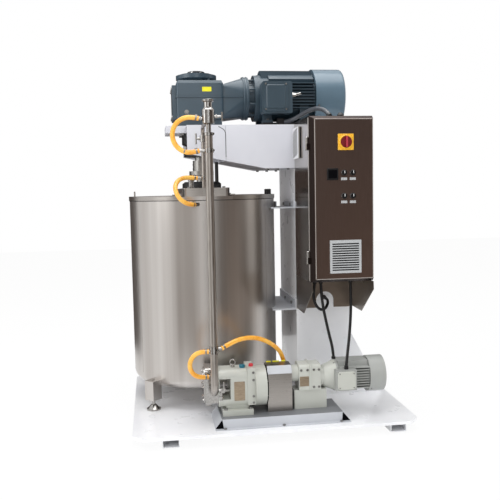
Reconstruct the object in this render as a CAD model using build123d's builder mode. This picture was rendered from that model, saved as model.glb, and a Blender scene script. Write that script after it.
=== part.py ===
"""A chocolate ball mill: jacketed tank with agitator, geared motor on an arm, pump set and control cabinet.

Millimetres, +Z up. The origin lies on the floor under the middle of the base plate.
Places along X and Y are counted from the tank's axis, and the helpers move them into the part's frame.
"""
import os
from math import cos, pi, radians, sin, tan

from build123d import *

os.makedirs("parts", exist_ok=True)

# Driving dimensions of the whole machine
tank_r = 500.0
tank_rim = 1458.0
tank_bottom = 212.0
wall_gap = 104.0
column_width = 383.0
column_depth = 560.0
column_top = 1922.0
plate_left = 5.0
plate_right = 245.0
plate_front = 426.0
plate_back = 14.0
plate_thick = 18.0
skid_height = 57.0
skid_width = 100.0
skid_wall = 5.0

# Fits
run_gap = 0.3
seat_gap = 0.3

# Tank, lid and agitator
jacket_wall = 4.0
vessel_r = 440.0
vessel_wall = 6.0
vessel_floor = 262.0
rim_ring = 8.0
lid_sheet = 4.0
lid_skirt = 27.0
lid_lap = 4.5
bridge_left = 155.0
bridge_right = 145.0
bridge_half_depth = 455.0
bridge_height = 53.0
bridge_wall = 4.0
hinge_r = 7.0
agitator_r = 35.0
arm_rod_r = 15.0
arm_reach = 405.0
arm_levels = 7
leg_circle = 535.0
leg_width = 76.0
leg_wall = 5.0
spindle_r = 11.0
pad_r = 46.0

# Drive head
beam_wall = 6.0
head_right = 145.0
head_left = 110.0
seam = 2.0
mount_top = 1930.0
mount_thick = 48.0
output_r = 45.0
drive_z = 2126.0
motor_r = 160.0
fan_cover_r = 200.0
fan_cover_wall = 3.0
motor_shaft_r = 24.0
flange_r = 145.0

# Control cabinet
cabinet_depth = 420.0
cabinet_low = 915.0
cabinet_high = 1931.0
cabinet_wall = 3.0
cabinet_over = 16.0
door_thick = 23.0
door_gap = 2.0

# Pump set, with its axis in front of the tank
pump_y = -tank_r - 175.0
riser_y = pump_y - 175.0
pump_axis = 346.0
rotor_pitch = 44.0
lobe_count = 3
rotor_width = 50.0
rotor_gap = 0.6
pump_shaft_r = 16.0
frame_top = 130.0
pump_motor_axis = 320.0
pump_motor_r = 88.0
port_z = 288.0
riser_x = -16.0

# Pipes, hoses and cables
riser_r = 23.0
pipe_r = 12.7
pipe_wall = 1.6
outlet_r = 25.4
hose_r = 14.0
cable_r = 9.0
conduit_r = 14.0

# What follows from the driving dimensions
plate_z = skid_height + plate_thick
plate_length = plate_left + 2 * tank_r + wall_gap + column_width + plate_right
plate_depth = plate_front + 2 * tank_r + plate_back
tank_x = -plate_length / 2 + plate_left + tank_r
tank_y = plate_depth / 2 - plate_back - tank_r
column_left = tank_r + wall_gap
column_right = column_left + column_width
column_front = -column_depth / 2
column_back = column_depth / 2
cabinet_right = column_right + cabinet_over
cabinet_front = column_front - cabinet_depth
door_back = cabinet_front - door_gap
door_face = door_back - door_thick
bridge_top = tank_rim + bridge_height
lower_axis = pump_axis - 2 * rotor_pitch


def at(x, y, z):
    """A point counted from the tank's axis, in the part's frame."""
    return Vector(tank_x + x, tank_y + y, z)


def block(xs, ys, zs, mode=Mode.ADD):
    """A box between two places on each axis."""
    middle = at((xs[0] + xs[1]) / 2, (ys[0] + ys[1]) / 2, (zs[0] + zs[1]) / 2)
    with Locations(middle):
        Box(xs[1] - xs[0], ys[1] - ys[0], zs[1] - zs[0], mode=mode)


def rod(start, end, radius, mode=Mode.ADD):
    """A round bar between two points."""
    run = at(*end) - at(*start)
    with Locations(Plane(at(*start), z_dir=run)):
        Cylinder(radius, run.length, align=(Align.CENTER, Align.CENTER, Align.MIN), mode=mode)


def taper(start, end, first_r, last_r, mode=Mode.ADD):
    """A cone's frustum between two points."""
    run = at(*end) - at(*start)
    with Locations(Plane(at(*start), z_dir=run)):
        Cone(first_r, last_r, run.length, align=(Align.CENTER, Align.CENTER, Align.MIN), mode=mode)


def hexagon(start, end, radius, mode=Mode.ADD):
    """A hexagonal bar between two points, such as a bolt's head."""
    run = at(*end) - at(*start)
    with BuildSketch(Plane(at(*start), z_dir=run)) as section:
        RegularPolygon(radius, 6)
    extrude(section.sketch, amount=run.length, mode=mode)


def turned(points, x=0.0, y=0.0):
    """A body turned about an upright axis, from (radius, height) points."""
    plane = Plane(at(x, y, 0), x_dir=(1, 0, 0), z_dir=(0, -1, 0))
    with BuildSketch(plane) as section:
        with BuildLine():
            Polyline(*points, close=True)
        make_face()
    revolve(section.sketch, axis=Axis(at(x, y, 0), (0, 0, 1)))


def write(part, name):
    """Label a finished piece and write its file."""
    part.label = name
    export_step(part, f"parts/{name}.step")


# Base frame: a plate with chamfered corners, welded on two open fork tubes
skid_left_x = column_left - 887.5
skid_right_x = column_left + 498.5
skid_reach = plate_depth / 2 - 40.0

with BuildPart() as base_frame:
    with BuildSketch(Plane.XY.offset(skid_height)):
        Rectangle(plate_length, plate_depth)
        chamfer(vertices(), 65.0)
    extrude(amount=plate_thick)
    for skid_x in (skid_left_x, skid_right_x):
        with Locations((tank_x + skid_x, 0, skid_height / 2)):
            Box(skid_width, 2 * skid_reach, skid_height)
            Box(skid_width - 2 * skid_wall, 2 * skid_reach, skid_height - 2 * skid_wall, mode=Mode.SUBTRACT)
write(base_frame.part, "base_frame")

# Column: a welded box with gussets at its foot
column_wall = 8.0
gusset_thick = 12.0

with BuildPart() as column:
    block((column_left, column_right), (column_front, column_back), (plate_z, column_top))
    block(
        (column_left + column_wall, column_right - column_wall),
        (column_front + column_wall, column_back - column_wall),
        (plate_z, column_top - column_wall),
        Mode.SUBTRACT,
    )
    for gusset_y in (column_front + gusset_thick, column_back):
        with BuildSketch(Plane(at(0, gusset_y, 0), x_dir=(1, 0, 0), z_dir=(0, -1, 0))):
            with BuildLine():
                Polyline(
                    (column_right, 494),
                    (column_right, plate_z),
                    (column_right + 212, plate_z),
                    (column_right + 212, plate_z + 12),
                    close=True,
                )
            make_face()
        extrude(amount=gusset_thick)
write(column.part, "column")

# Arm: a sloping sheet box that carries the geared motor out over the tank
beam_low = 1634.0
beam_slope_start = 409.0
beam_tip_z = 1703.0
beam_tip_x = 64.0
head_low = 1737.0


def beam_floor(x):
    """Height of the arm's underside at a place along X."""
    if x >= beam_slope_start:
        return beam_low
    return beam_low + (beam_tip_z - beam_low) * (beam_slope_start - x) / (beam_slope_start - beam_tip_x)


with BuildPart() as arm_beam:
    side = Plane(at(0, column_front, 0), x_dir=(1, 0, 0), z_dir=(0, -1, 0))
    with BuildSketch(side):
        with BuildLine():
            Polyline(
                (column_left, beam_low),
                (column_left, column_top),
                (head_right, column_top),
                (head_right, beam_floor(head_right)),
                (beam_slope_start, beam_low),
                close=True,
            )
        make_face()
    extrude(amount=-column_depth)
    inner_side = Plane(at(0, column_front + beam_wall, 0), x_dir=(1, 0, 0), z_dir=(0, -1, 0))
    with BuildSketch(inner_side):
        with BuildLine():
            Polyline(
                (column_left - beam_wall, beam_low + beam_wall),
                (column_left - beam_wall, column_top - beam_wall),
                (head_right + beam_wall, column_top - beam_wall),
                (head_right + beam_wall, beam_floor(head_right + beam_wall) + beam_wall),
                (beam_slope_start, beam_low + beam_wall),
                close=True,
            )
        make_face()
    extrude(amount=-(column_depth - 2 * beam_wall), mode=Mode.SUBTRACT)
write(arm_beam.part, "arm_beam")

# Arm head cover: front and back sheets joined by a web, open to the left and below
cover_right = head_right - seam
mount_low = mount_top - mount_thick
mount_half = 140.0

with BuildPart() as arm_head_cover:
    with BuildSketch(side):
        with BuildLine():
            Polyline(
                (cover_right, column_top),
                (cover_right, beam_floor(cover_right)),
                (beam_tip_x, beam_tip_z),
                (-head_left, head_low),
                (-head_left, column_top),
                close=True,
            )
        make_face()
    extrude(amount=-column_depth)
    block(
        (-head_left - 1, cover_right - beam_wall),
        (column_front + beam_wall, column_back - beam_wall),
        (1600.0, mount_low),
        Mode.SUBTRACT,
    )
    block(
        (-head_left - 1, cover_right + 1),
        (-mount_half, mount_half),
        (mount_low - 1, column_top + 1),
        Mode.SUBTRACT,
    )
    block(
        (-head_left - 1, cover_right - beam_wall),
        (column_front + beam_wall, column_back - beam_wall),
        (mount_low - 1, column_top - beam_wall),
        Mode.SUBTRACT,
    )
write(arm_head_cover.part, "arm_head_cover")

# Thick plate that the gear unit stands on, with the shaft's hole and four bolt holes
mount_left = 243.0
mount_bolt_r = 9.0
mount_bolts = ((-130.0, -108.0), (-130.0, 108.0), (116.0, -108.0), (116.0, 108.0))
seat_r = 60.0

with BuildPart() as gear_mount_plate:
    block((-mount_left, cover_right), (-mount_half, mount_half), (mount_low, mount_top))
    rod((0, 0, mount_low), (0, 0, mount_top), seat_r, Mode.SUBTRACT)
    for bolt_x, bolt_y in mount_bolts:
        rod((bolt_x, bolt_y, mount_low), (bolt_x, bolt_y, mount_top), mount_bolt_r, Mode.SUBTRACT)
write(gear_mount_plate.part, "gear_mount_plate")

# Bearing housing below the mounting plate, with the two rings of its bearings
cartridge_r = 118.0
cartridge_low = 1728.0
bearing_r = 75.0
bearing_width = 30.0

with BuildPart() as bearing_housing:
    turned(
        (
            (output_r + run_gap, cartridge_low),
            (cartridge_r, cartridge_low),
            (cartridge_r, cartridge_low + 32),
            (100.0, cartridge_low + 32),
            (100.0, 1800.0),
            (130.0, 1812.0),
            (130.0, mount_low),
            (bearing_r, mount_low),
            (bearing_r, 1752.0),
            (output_r + run_gap, 1752.0),
        )
    )
    for ring_z in (1753.0, mount_low - bearing_width):
        turned(
            (
                (output_r + run_gap, ring_z),
                (bearing_r - seat_gap, ring_z),
                (bearing_r - seat_gap, ring_z + bearing_width),
                (output_r + run_gap, ring_z + bearing_width),
            )
        )
write(bearing_housing.part, "bearing_housing")

# Output shaft with the large gear wheel at its upper end
wheel_r = 104.0
wheel_low = 2055.0
stub_low = 1690.0

with BuildPart() as output_shaft:
    rod((0, 0, stub_low), (0, 0, 2180.0), output_r)
    rod((0, 0, wheel_low), (0, 0, wheel_low + 34), wheel_r)
write(output_shaft.part, "output_shaft")

# Gear unit: a cast box with a foot, a side cover, a top disc and a cap
gear_left = 165.0
gear_right = 150.0
gear_half = 150.0
gear_low = 1974.0
gear_high = 2232.0
gear_wall = 14.0
gear_shoulder = 20.0
gear_corner = 16.0
rib_low = 2118.0
rib_height = 9.0
neck_end = 289.0
pinion_bore = 40.0

with BuildPart() as gear_housing:
    with BuildSketch(Plane.XY.offset(gear_low)):
        with Locations(at((gear_right - gear_left) / 2, 0, 0)):
            RectangleRounded(gear_left + gear_right, 2 * gear_half, gear_corner)
    extrude(amount=gear_high - gear_low - gear_shoulder)
    with BuildSketch(Plane.XY.offset(gear_high - gear_shoulder)):
        with Locations(at((gear_right - gear_left) / 2, 0, 0)):
            RectangleRounded(gear_left + gear_right, 2 * gear_half, gear_corner)
    extrude(amount=gear_shoulder, taper=30)
    with BuildSketch(Plane.XY.offset(rib_low)):
        with Locations(at((gear_right - gear_left - 6) / 2, 0, 0)):
            RectangleRounded(gear_left + gear_right + 6, 2 * gear_half + 12, gear_corner + 4)
    extrude(amount=rib_height)
    block((-gear_left + 14, gear_right - 12), (-gear_half + 18, gear_half - 18), (mount_top, gear_low))
    block(
        (-gear_left + gear_wall, gear_right - gear_wall),
        (-gear_half + gear_wall, gear_half - gear_wall),
        (gear_low + gear_wall, gear_high - 55),
        Mode.SUBTRACT,
    )
    rod((0, 0, mount_top), (0, 0, gear_low + gear_wall), output_r + run_gap, Mode.SUBTRACT)
    rod((0, 0, gear_high - 56), (0, 0, gear_high - 40), output_r + run_gap, Mode.SUBTRACT)
    rod((gear_right - gear_wall - 1, 0, drive_z), (gear_right + 1, 0, drive_z), pinion_bore, Mode.SUBTRACT)
    for bolt_x, bolt_y in mount_bolts:
        rod((bolt_x, bolt_y, mount_top - 1), (bolt_x, bolt_y, gear_low + 1), mount_bolt_r, Mode.SUBTRACT)
    taper((-21, 0, gear_high), (-21, 0, gear_high + 20), 110.0, 138.5)
    rod((-21, 0, gear_high + 20), (-21, 0, gear_high + 46), 138.5)
    rod((-21, 0, gear_high + 46), (-21, 0, gear_high + 54), 112.0)
    rod((-21, 0, gear_high + 54), (-21, 0, gear_high + 73), 58.0)
    block((-gear_left - 28, -gear_left), (-118, 118), (gear_low, gear_high - 31))
    rod((57, -105, gear_high - 30), (57, -105, gear_high + 16), 9.0)
write(gear_housing.part, "gear_housing")

# Input adapter: a funnel from the gear box's width to a round flange, and an open lantern ring with studs
funnel_half = 133.0
funnel_low = 1980.0
funnel_high = 2210.0
funnel_end = 137.0
funnel_corner = 22.0
lantern_start = 329.0
motor_flange_x = 368.0
lantern_r = 104.0
stud_circle = 127.0

with BuildPart() as input_adapter:
    funnel_mid = (funnel_low + funnel_high) / 2
    with BuildSketch(Plane(at(gear_right, 0, funnel_mid), x_dir=(0, 1, 0), z_dir=(1, 0, 0))):
        RectangleRounded(2 * funnel_half, funnel_high - funnel_low, funnel_corner)
    with BuildSketch(Plane(at(neck_end, 0, drive_z), x_dir=(0, 1, 0), z_dir=(1, 0, 0))):
        RectangleRounded(2 * funnel_end, 2 * funnel_end, funnel_end - 8)
    loft()
    block((gear_right, neck_end), (-funnel_end - 4, funnel_end + 4), (rib_low, rib_low + rib_height))
    rod((neck_end, 0, drive_z), (lantern_start, 0, drive_z), flange_r)
    rod((lantern_start, 0, drive_z), (motor_flange_x, 0, drive_z), lantern_r)
    rod((gear_right - 1, 0, drive_z), (motor_flange_x + 1, 0, drive_z), pinion_bore, Mode.SUBTRACT)
    for stud in range(8):
        turn = radians(22.5 + 45 * stud)
        stud_y = stud_circle * cos(turn)
        stud_z = drive_z + stud_circle * sin(turn)
        rod((lantern_start - 1, stud_y, stud_z), (motor_flange_x, stud_y, stud_z), 8.0)
write(input_adapter.part, "input_adapter")

# Main motor frame: end shield, ribbed barrel, feet and plinth
frame_left = 408.0
frame_right = 779.0
motor_bore = 110.0
fin_count = 9
fin_pitch = 20.5
fin_thick = 6.0
fin_half = 190.0
fin_run = (frame_left + 8, frame_right - 8)
top_fin_count = 10
plinth_thick = 22.0
shield_r = 158.0
plinth_top = column_top + plinth_thick
motor_foot_top = 1962.0
motor_feet_x = (444.0, 700.0)

with BuildPart() as motor_frame:
    rod((motor_flange_x, 0, drive_z), (frame_left - 14, 0, drive_z), shield_r)
    rod((frame_left - 14, 0, drive_z), (frame_right, 0, drive_z), motor_r)
    for fin in range(fin_count):
        fin_z = drive_z + (fin - (fin_count - 1) / 2) * fin_pitch
        block(fin_run, (-fin_half, fin_half), (fin_z - fin_thick / 2, fin_z + fin_thick / 2))
    for fin in range(top_fin_count):
        fin_y = (fin - (top_fin_count - 1) / 2) * fin_pitch
        fin_top = drive_z + (fin_half**2 - fin_y**2) ** 0.5
        block(fin_run, (fin_y - fin_thick / 2, fin_y + fin_thick / 2), (drive_z, fin_top))
    for foot_x in motor_feet_x:
        for foot_y in (-150.0, 150.0):
            block((foot_x - 34, foot_x + 34), (foot_y - 38, foot_y + 38), (plinth_top, motor_foot_top))
            block((foot_x - 30, foot_x + 30), (foot_y - 18, foot_y + 18), (motor_foot_top, drive_z - 60))
    block((frame_left, frame_right), (-186, 186), (column_top, plinth_top))
    with Locations(Plane(at((464 + 775) / 2, 0, drive_z), x_dir=(1, 0, 0), z_dir=(0, -0.58, 0.814))):
        Box(311, 96, 176, align=(Align.CENTER, Align.CENTER, Align.MIN))
    rod((motor_flange_x - 1, 0, drive_z), (frame_right + 1, 0, drive_z), motor_bore, Mode.SUBTRACT)
    for web_x in (motor_flange_x, frame_right - 14):
        rod((web_x, 0, drive_z), (web_x + 14, 0, drive_z), motor_bore + 2)
        rod((web_x - 1, 0, drive_z), (web_x + 15, 0, drive_z), motor_shaft_r + run_gap, Mode.SUBTRACT)
write(motor_frame.part, "motor_frame")

# Terminal box on the motor's front side, with its lid
box_left = 391.0
box_right = 595.0
box_back = -fin_half - seat_gap
box_front = -285.0

with BuildPart() as motor_terminal_box:
    block((box_left, box_right), (box_front, box_back), (1994.0, 2205.0))
    fillet(motor_terminal_box.edges().filter_by(Axis.Y), 16.0)
    with BuildSketch(Plane(at(483, box_front, 2103), x_dir=(1, 0, 0), z_dir=(0, -1, 0))):
        Rectangle(164, 192)
        chamfer(vertices(), 22.0)
    extrude(amount=7.0)
write(motor_terminal_box.part, "motor_terminal_box")

# Fan cover: a drawn cap that slips over the end of the frame
cover_end = 987.0

with BuildPart() as motor_fan_cover:
    rod((frame_right + seat_gap, 0, drive_z), (cover_end, 0, drive_z), fan_cover_r)
    fillet(motor_fan_cover.edges().filter_by(GeomType.CIRCLE).sort_by(Axis.X)[-1], 16.0)
    open_end = motor_fan_cover.faces().sort_by(Axis.X)[0]
    offset(amount=-fan_cover_wall, openings=open_end)
    with BuildSketch(Plane(at(cover_end - fan_cover_wall - 1, 0, drive_z), z_dir=(1, 0, 0))):
        with PolarLocations(95, 18):
            SlotOverall(90, 10)
    extrude(amount=fan_cover_wall + 2, mode=Mode.SUBTRACT)
    rod((frame_right + seat_gap, 0, drive_z), (frame_right + 4, 0, drive_z), fan_cover_r - 1)
    rod((frame_right, 0, drive_z), (frame_right + 5, 0, drive_z), 170.0, Mode.SUBTRACT)
write(motor_fan_cover.part, "motor_fan_cover")

# Motor rotor: shaft, core, fan and the pinion inside the gear unit
pinion_r = drive_z - wheel_low - 34 - rotor_gap

with BuildPart() as motor_rotor:
    rod((62, 0, drive_z), (940, 0, drive_z), motor_shaft_r)
    rod((62, 0, drive_z), (104, 0, drive_z), pinion_r)
    rod((430, 0, drive_z), (740, 0, drive_z), 96.0)
    rod((880, 0, drive_z), (890, 0, drive_z), 60.0)
    for blade in range(8):
        turn = radians(45 * blade)
        tip = (885, 165 * cos(turn), drive_z + 165 * sin(turn))
        root = (885, 40 * cos(turn), drive_z + 40 * sin(turn))
        rod(root, tip, 5.0)
write(motor_rotor.part, "motor_rotor")

# Tank jacket: outer wall with a rounded foot, top ring and four welded leg brackets
knuckle = 60.0

with BuildPart() as tank_jacket:
    with BuildSketch(Plane(at(0, 0, 0), x_dir=(1, 0, 0), z_dir=(0, -1, 0))):
        with BuildLine():
            foot = Line((0, tank_bottom), (tank_r - knuckle, tank_bottom))
            bend = RadiusArc(foot @ 1, (tank_r, tank_bottom + knuckle), -knuckle)
            Polyline(
                bend @ 1,
                (tank_r, tank_rim),
                (vessel_r + seat_gap, tank_rim),
                (vessel_r + seat_gap, tank_rim - rim_ring),
                (tank_r - jacket_wall, tank_rim - rim_ring),
                (tank_r - jacket_wall, tank_bottom + knuckle),
            )
            RadiusArc(
                (tank_r - jacket_wall, tank_bottom + knuckle),
                (tank_r - knuckle, tank_bottom + jacket_wall),
                knuckle - jacket_wall,
            )
            Polyline(
                (tank_r - knuckle, tank_bottom + jacket_wall),
                (0, tank_bottom + jacket_wall),
                (0, tank_bottom),
            )
        make_face()
    revolve(axis=Axis(at(0, 0, 0), (0, 0, 1)))
    with Locations(at(0, 0, (143 + 270) / 2)):
        with PolarLocations(leg_circle, 4, 45):
            Box(leg_width, leg_width, 127)
            with Locations((0, 0, -leg_wall)):
                Box(leg_width - 2 * leg_wall, leg_width - 2 * leg_wall, 127, mode=Mode.SUBTRACT)
    with Locations(at(0, 0, 262)):
        with PolarLocations(leg_circle, 4, 45):
            Box(leg_width - 2 * leg_wall, leg_width, 8)
            Cylinder(spindle_r + run_gap, 30, mode=Mode.SUBTRACT)
    with Locations(at(0, 0, tank_bottom)):
        Cylinder(outlet_r + seat_gap, 40, mode=Mode.SUBTRACT)
write(tank_jacket.part, "tank_jacket")

# Inner vessel: a straight wall with a flat floor and an outlet hole
with BuildPart() as tank_inner_vessel:
    turned(
        (
            (outlet_r + seat_gap, vessel_floor),
            (vessel_r, vessel_floor),
            (vessel_r, tank_rim),
            (vessel_r - vessel_wall, tank_rim),
            (vessel_r - vessel_wall, vessel_floor + vessel_wall),
            (outlet_r + seat_gap, vessel_floor + vessel_wall),
        )
    )
    for spacer in range(4):
        turn = radians(90 * spacer)
        spacer_x = 300 * cos(turn)
        spacer_y = 300 * sin(turn)
        rod((spacer_x, spacer_y, tank_bottom + jacket_wall), (spacer_x, spacer_y, vessel_floor), 20.0)
write(tank_inner_vessel.part, "tank_inner_vessel")

# Levelling feet: a cone-shaped pad and a threaded spindle with its nut under each leg
leg_hole_low = 258.0
pad_height = 35.0
nut_thick = 14.0

with BuildPart() as levelling_feet:
    for leg in range(4):
        turn = radians(45 + 90 * leg)
        foot_x = leg_circle * cos(turn)
        foot_y = leg_circle * sin(turn)
        rod((foot_x, foot_y, plate_z), (foot_x, foot_y, plate_z + 9), pad_r)
        taper((foot_x, foot_y, plate_z + 9), (foot_x, foot_y, plate_z + pad_height), pad_r - 4, 17.0)
        rod((foot_x, foot_y, plate_z + pad_height), (foot_x, foot_y, leg_hole_low + 6), spindle_r)
        hexagon((foot_x, foot_y, leg_hole_low - nut_thick), (foot_x, foot_y, leg_hole_low), 18.0)
write(levelling_feet.part, "levelling_feet")

# Bridge across the tank's mouth: a box open below, with knuckles and pins for the two lid halves
hinge_z = tank_rim + 12.0
left_hinge = -bridge_left - hinge_r - 2.0
right_hinge = bridge_right + hinge_r + 2.0
knuckle_length = 40.0
knuckle_places = (-330.0, 330.0)
pin_r = 3.0
drop_y = -412.0
drop_x = riser_x

with BuildPart() as lid_bridge:
    block((-bridge_left, bridge_right), (-bridge_half_depth, bridge_half_depth), (tank_rim, bridge_top))
    fillet(lid_bridge.edges().filter_by(Axis.Z), 25.0)
    block(
        (-bridge_left + bridge_wall, bridge_right - bridge_wall),
        (-bridge_half_depth + bridge_wall, bridge_half_depth - bridge_wall),
        (tank_rim, bridge_top - bridge_wall),
        Mode.SUBTRACT,
    )
    rod((0, 0, tank_rim), (0, 0, bridge_top), 60.0, Mode.SUBTRACT)
    rod((drop_x, drop_y, tank_rim), (drop_x, drop_y, bridge_top), pipe_r + run_gap, Mode.SUBTRACT)
    for hinge_x, wall_x in ((left_hinge, -bridge_left), (right_hinge, bridge_right)):
        for knuckle_y in knuckle_places:
            rod((hinge_x, knuckle_y, hinge_z), (hinge_x, knuckle_y + knuckle_length, hinge_z), hinge_r)
            block(
                (min(hinge_x, wall_x), max(hinge_x, wall_x)),
                (knuckle_y, knuckle_y + knuckle_length),
                (hinge_z - 2.5, hinge_z + 2.5),
            )
            rod((hinge_x, knuckle_y - knuckle_length, hinge_z), (hinge_x, knuckle_y, hinge_z), pin_r)
write(lid_bridge.part, "lid_bridge")


def lid_half(side, hinge_x, solid_handle):
    """One lid half: a sheet with a rim skirt, two knuckles and a handle. side is -1 left, 1 right."""
    lid_low = tank_rim + seat_gap
    skirt_out = tank_r + lid_lap
    edge_x = hinge_x + side * 8.0
    cut_far = tank_r + 60.0
    with BuildPart() as lid:
        with BuildSketch(Plane.XY.offset(tank_rim - lid_skirt + lid_sheet)) as outline:
            with Locations(at(0, 0, 0)):
                Circle(skirt_out)
        extrude(outline.sketch, amount=lid_low + lid_sheet - (tank_rim - lid_skirt + lid_sheet))
        rod((0, 0, tank_rim - lid_skirt), (0, 0, lid_low), tank_r + 1.2, Mode.SUBTRACT)
        cut_away = (-cut_far, edge_x) if side > 0 else (edge_x, cut_far)
        block(cut_away, (-cut_far, cut_far), (tank_rim - 60, tank_rim + 60), Mode.SUBTRACT)
        for knuckle_y in knuckle_places:
            knuckle_end = knuckle_y - run_gap
            knuckle_start = knuckle_end - knuckle_length
            rod((hinge_x, knuckle_start, hinge_z), (hinge_x, knuckle_end, hinge_z), hinge_r)
            block(
                (min(hinge_x, hinge_x + side * 34), max(hinge_x, hinge_x + side * 34)),
                (knuckle_start, knuckle_end),
                (lid_low + lid_sheet, hinge_z),
            )
            pin_start = (hinge_x, knuckle_start - 1, hinge_z)
            pin_end = (hinge_x, knuckle_end + 1, hinge_z)
            rod(pin_start, pin_end, pin_r + run_gap, Mode.SUBTRACT)
        grip_x = side * 465.0
        top = lid_low + lid_sheet
        if solid_handle:
            block((grip_x - 13, grip_x + 13), (-24, 24), (top, top + 35))
        else:
            for post_y in (-19.0, 19.0):
                rod((grip_x, post_y, top), (grip_x, post_y, top + 30), 5.0)
            rod((grip_x, -24, top + 30), (grip_x, 24, top + 30), 5.0)
    return lid.part


write(lid_half(-1, left_hinge, False), "lid_left")
write(lid_half(1, right_hinge, True), "lid_right")

# Seal housing on the bridge around the agitator shaft
seal_r = 135.0
seal_height = 45.0

with BuildPart() as seal_housing:
    turned(
        (
            (agitator_r + run_gap, bridge_top - 40),
            (59.0, bridge_top - 40),
            (59.0, bridge_top),
            (seal_r, bridge_top),
            (seal_r, bridge_top + seal_height - 14),
            (seal_r - 18, bridge_top + seal_height),
            (agitator_r + run_gap, bridge_top + seal_height),
        )
    )
write(seal_housing.part, "seal_housing")

# Agitator: a shaft with crossed round arms and a coupling flange at its top
coupling_low = 1601.0
coupling_high = 1629.0
shaft_low = vessel_floor + 38.0
first_arm = vessel_floor + 78.0
last_arm = tank_rim - 190.0

with BuildPart() as agitator:
    rod((0, 0, shaft_low), (0, 0, coupling_high), agitator_r)
    rod((0, 0, coupling_low), (0, 0, coupling_high), 85.0)
    for level in range(arm_levels):
        arm_z = first_arm + (last_arm - first_arm) * level / (arm_levels - 1)
        turn = radians(60 * level)
        tip = (arm_reach * cos(turn), arm_reach * sin(turn), arm_z)
        heel = (-arm_reach * cos(turn), -arm_reach * sin(turn), arm_z)
        rod(heel, tip, arm_rod_r)
write(agitator.part, "agitator")

# Coupling sleeve between the agitator and the gear unit's output shaft, with its screws
with BuildPart() as shaft_coupling:
    rod((0, 0, coupling_high), (0, 0, stub_low), 59.0)
    rod((0, 0, stub_low), (0, 0, stub_low + 12), 59.0)
    rod((0, 0, stub_low), (0, 0, stub_low + 12), output_r, Mode.SUBTRACT)
    for screw in range(4):
        turn = radians(-110 + 90 * screw)
        for screw_z in (1645.0, 1674.0):
            rod(
                (52 * cos(turn), 52 * sin(turn), screw_z),
                (62 * cos(turn), 62 * sin(turn), screw_z),
                6.0,
            )
write(shaft_coupling.part, "shaft_coupling")

# Stays that tie the tank to the column: an upper bracket and a lower plate with an upturned flange
stay_flange = 10.0
upper_stay = 1365.0
lower_stay = 675.0

with BuildPart() as tank_stays:
    with BuildSketch(Plane.XY.offset(upper_stay)):
        with Locations(at((440 + column_left) / 2, -95, 0)):
            Rectangle(column_left - 440, 350)
        with Locations(at(0, 0, 0)):
            Circle(tank_r + seat_gap, mode=Mode.SUBTRACT)
    extrude(amount=8.0)
    block((column_left - stay_flange, column_left), (-270, 80), (upper_stay, upper_stay + 45))
    block((506, 512), (-90, -10), (upper_stay, upper_stay + 45))
    with BuildSketch(Plane.XY.offset(lower_stay)):
        with Locations(at((440 + column_left) / 2, 0, 0)):
            Rectangle(column_left - 440, column_depth)
        with Locations(at(0, 0, 0)):
            Circle(tank_r + seat_gap, mode=Mode.SUBTRACT)
    extrude(amount=10.0)
    flange_run = (column_left - stay_flange, column_left)
    block(flange_run, (column_front, column_back), (lower_stay, lower_stay + 70))
write(tank_stays.part, "tank_stays")

# Pump sub-frame: folded sheet with an upper table, webs and foot flanges
sub_left = 20.0
sub_right = 770.0
sub_front = riser_y + 12.0
sub_back = pump_y + 117.0
sub_sheet = 5.0
sub_slope = 38.0
sub_lean = 12.0
foot_lip = 29.0

sub_edge = 6.0

with BuildPart() as pump_subframe:
    middle = at((sub_left + sub_right) / 2, (sub_front + sub_back) / 2, 0)
    sub_length = sub_right - sub_left
    sub_depth = sub_back - sub_front
    inner_top = frame_top - sub_sheet
    for inset, top, sub_mode in ((0.0, frame_top, Mode.ADD), (sub_edge, inner_top, Mode.SUBTRACT)):
        with BuildSketch(Plane.XY.offset(plate_z)):
            with Locations(middle):
                Rectangle(sub_length + 2 * (sub_slope - inset), sub_depth + 2 * (sub_lean - inset))
        with BuildSketch(Plane.XY.offset(top)):
            with Locations(middle):
                Rectangle(sub_length - 2 * inset, sub_depth - 2 * inset)
        loft(mode=sub_mode)
    for lip_y in (sub_front - sub_lean - foot_lip + sub_edge, sub_back + sub_lean - sub_edge):
        lip_run = (sub_left - sub_slope, sub_right + sub_slope)
        block(lip_run, (lip_y, lip_y + foot_lip), (plate_z, plate_z + sub_sheet))
write(pump_subframe.part, "pump_subframe")

# Lobe rotors: an outline of alternating outer and inner rolling arcs, with a shaft and a timing wheel
head_left_x = -65.0
head_right_x = 15.0
chamber_left = head_left_x + 14.0
chamber_right = chamber_left + rotor_width + 2 * rotor_gap
roll_r = rotor_pitch / (2 * lobe_count)
lobe_steps = 6
timing_left = 112.0
timing_right = 150.0
drive_end = 352.0


def lobe_point(angle, outer, start):
    """A point of the rolling outline: outside the pitch circle on a lobe, inside it between two lobes."""
    circle = rotor_pitch - rotor_gap
    roll = circle / (2 * lobe_count)
    side = 1 if outer else -1
    reach = circle + side * roll
    spin = reach / roll * angle
    across = reach * cos(angle) - side * roll * cos(spin)
    along = reach * sin(angle) - roll * sin(spin)
    return across * cos(start) - along * sin(start), across * sin(start) + along * cos(start)


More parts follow.
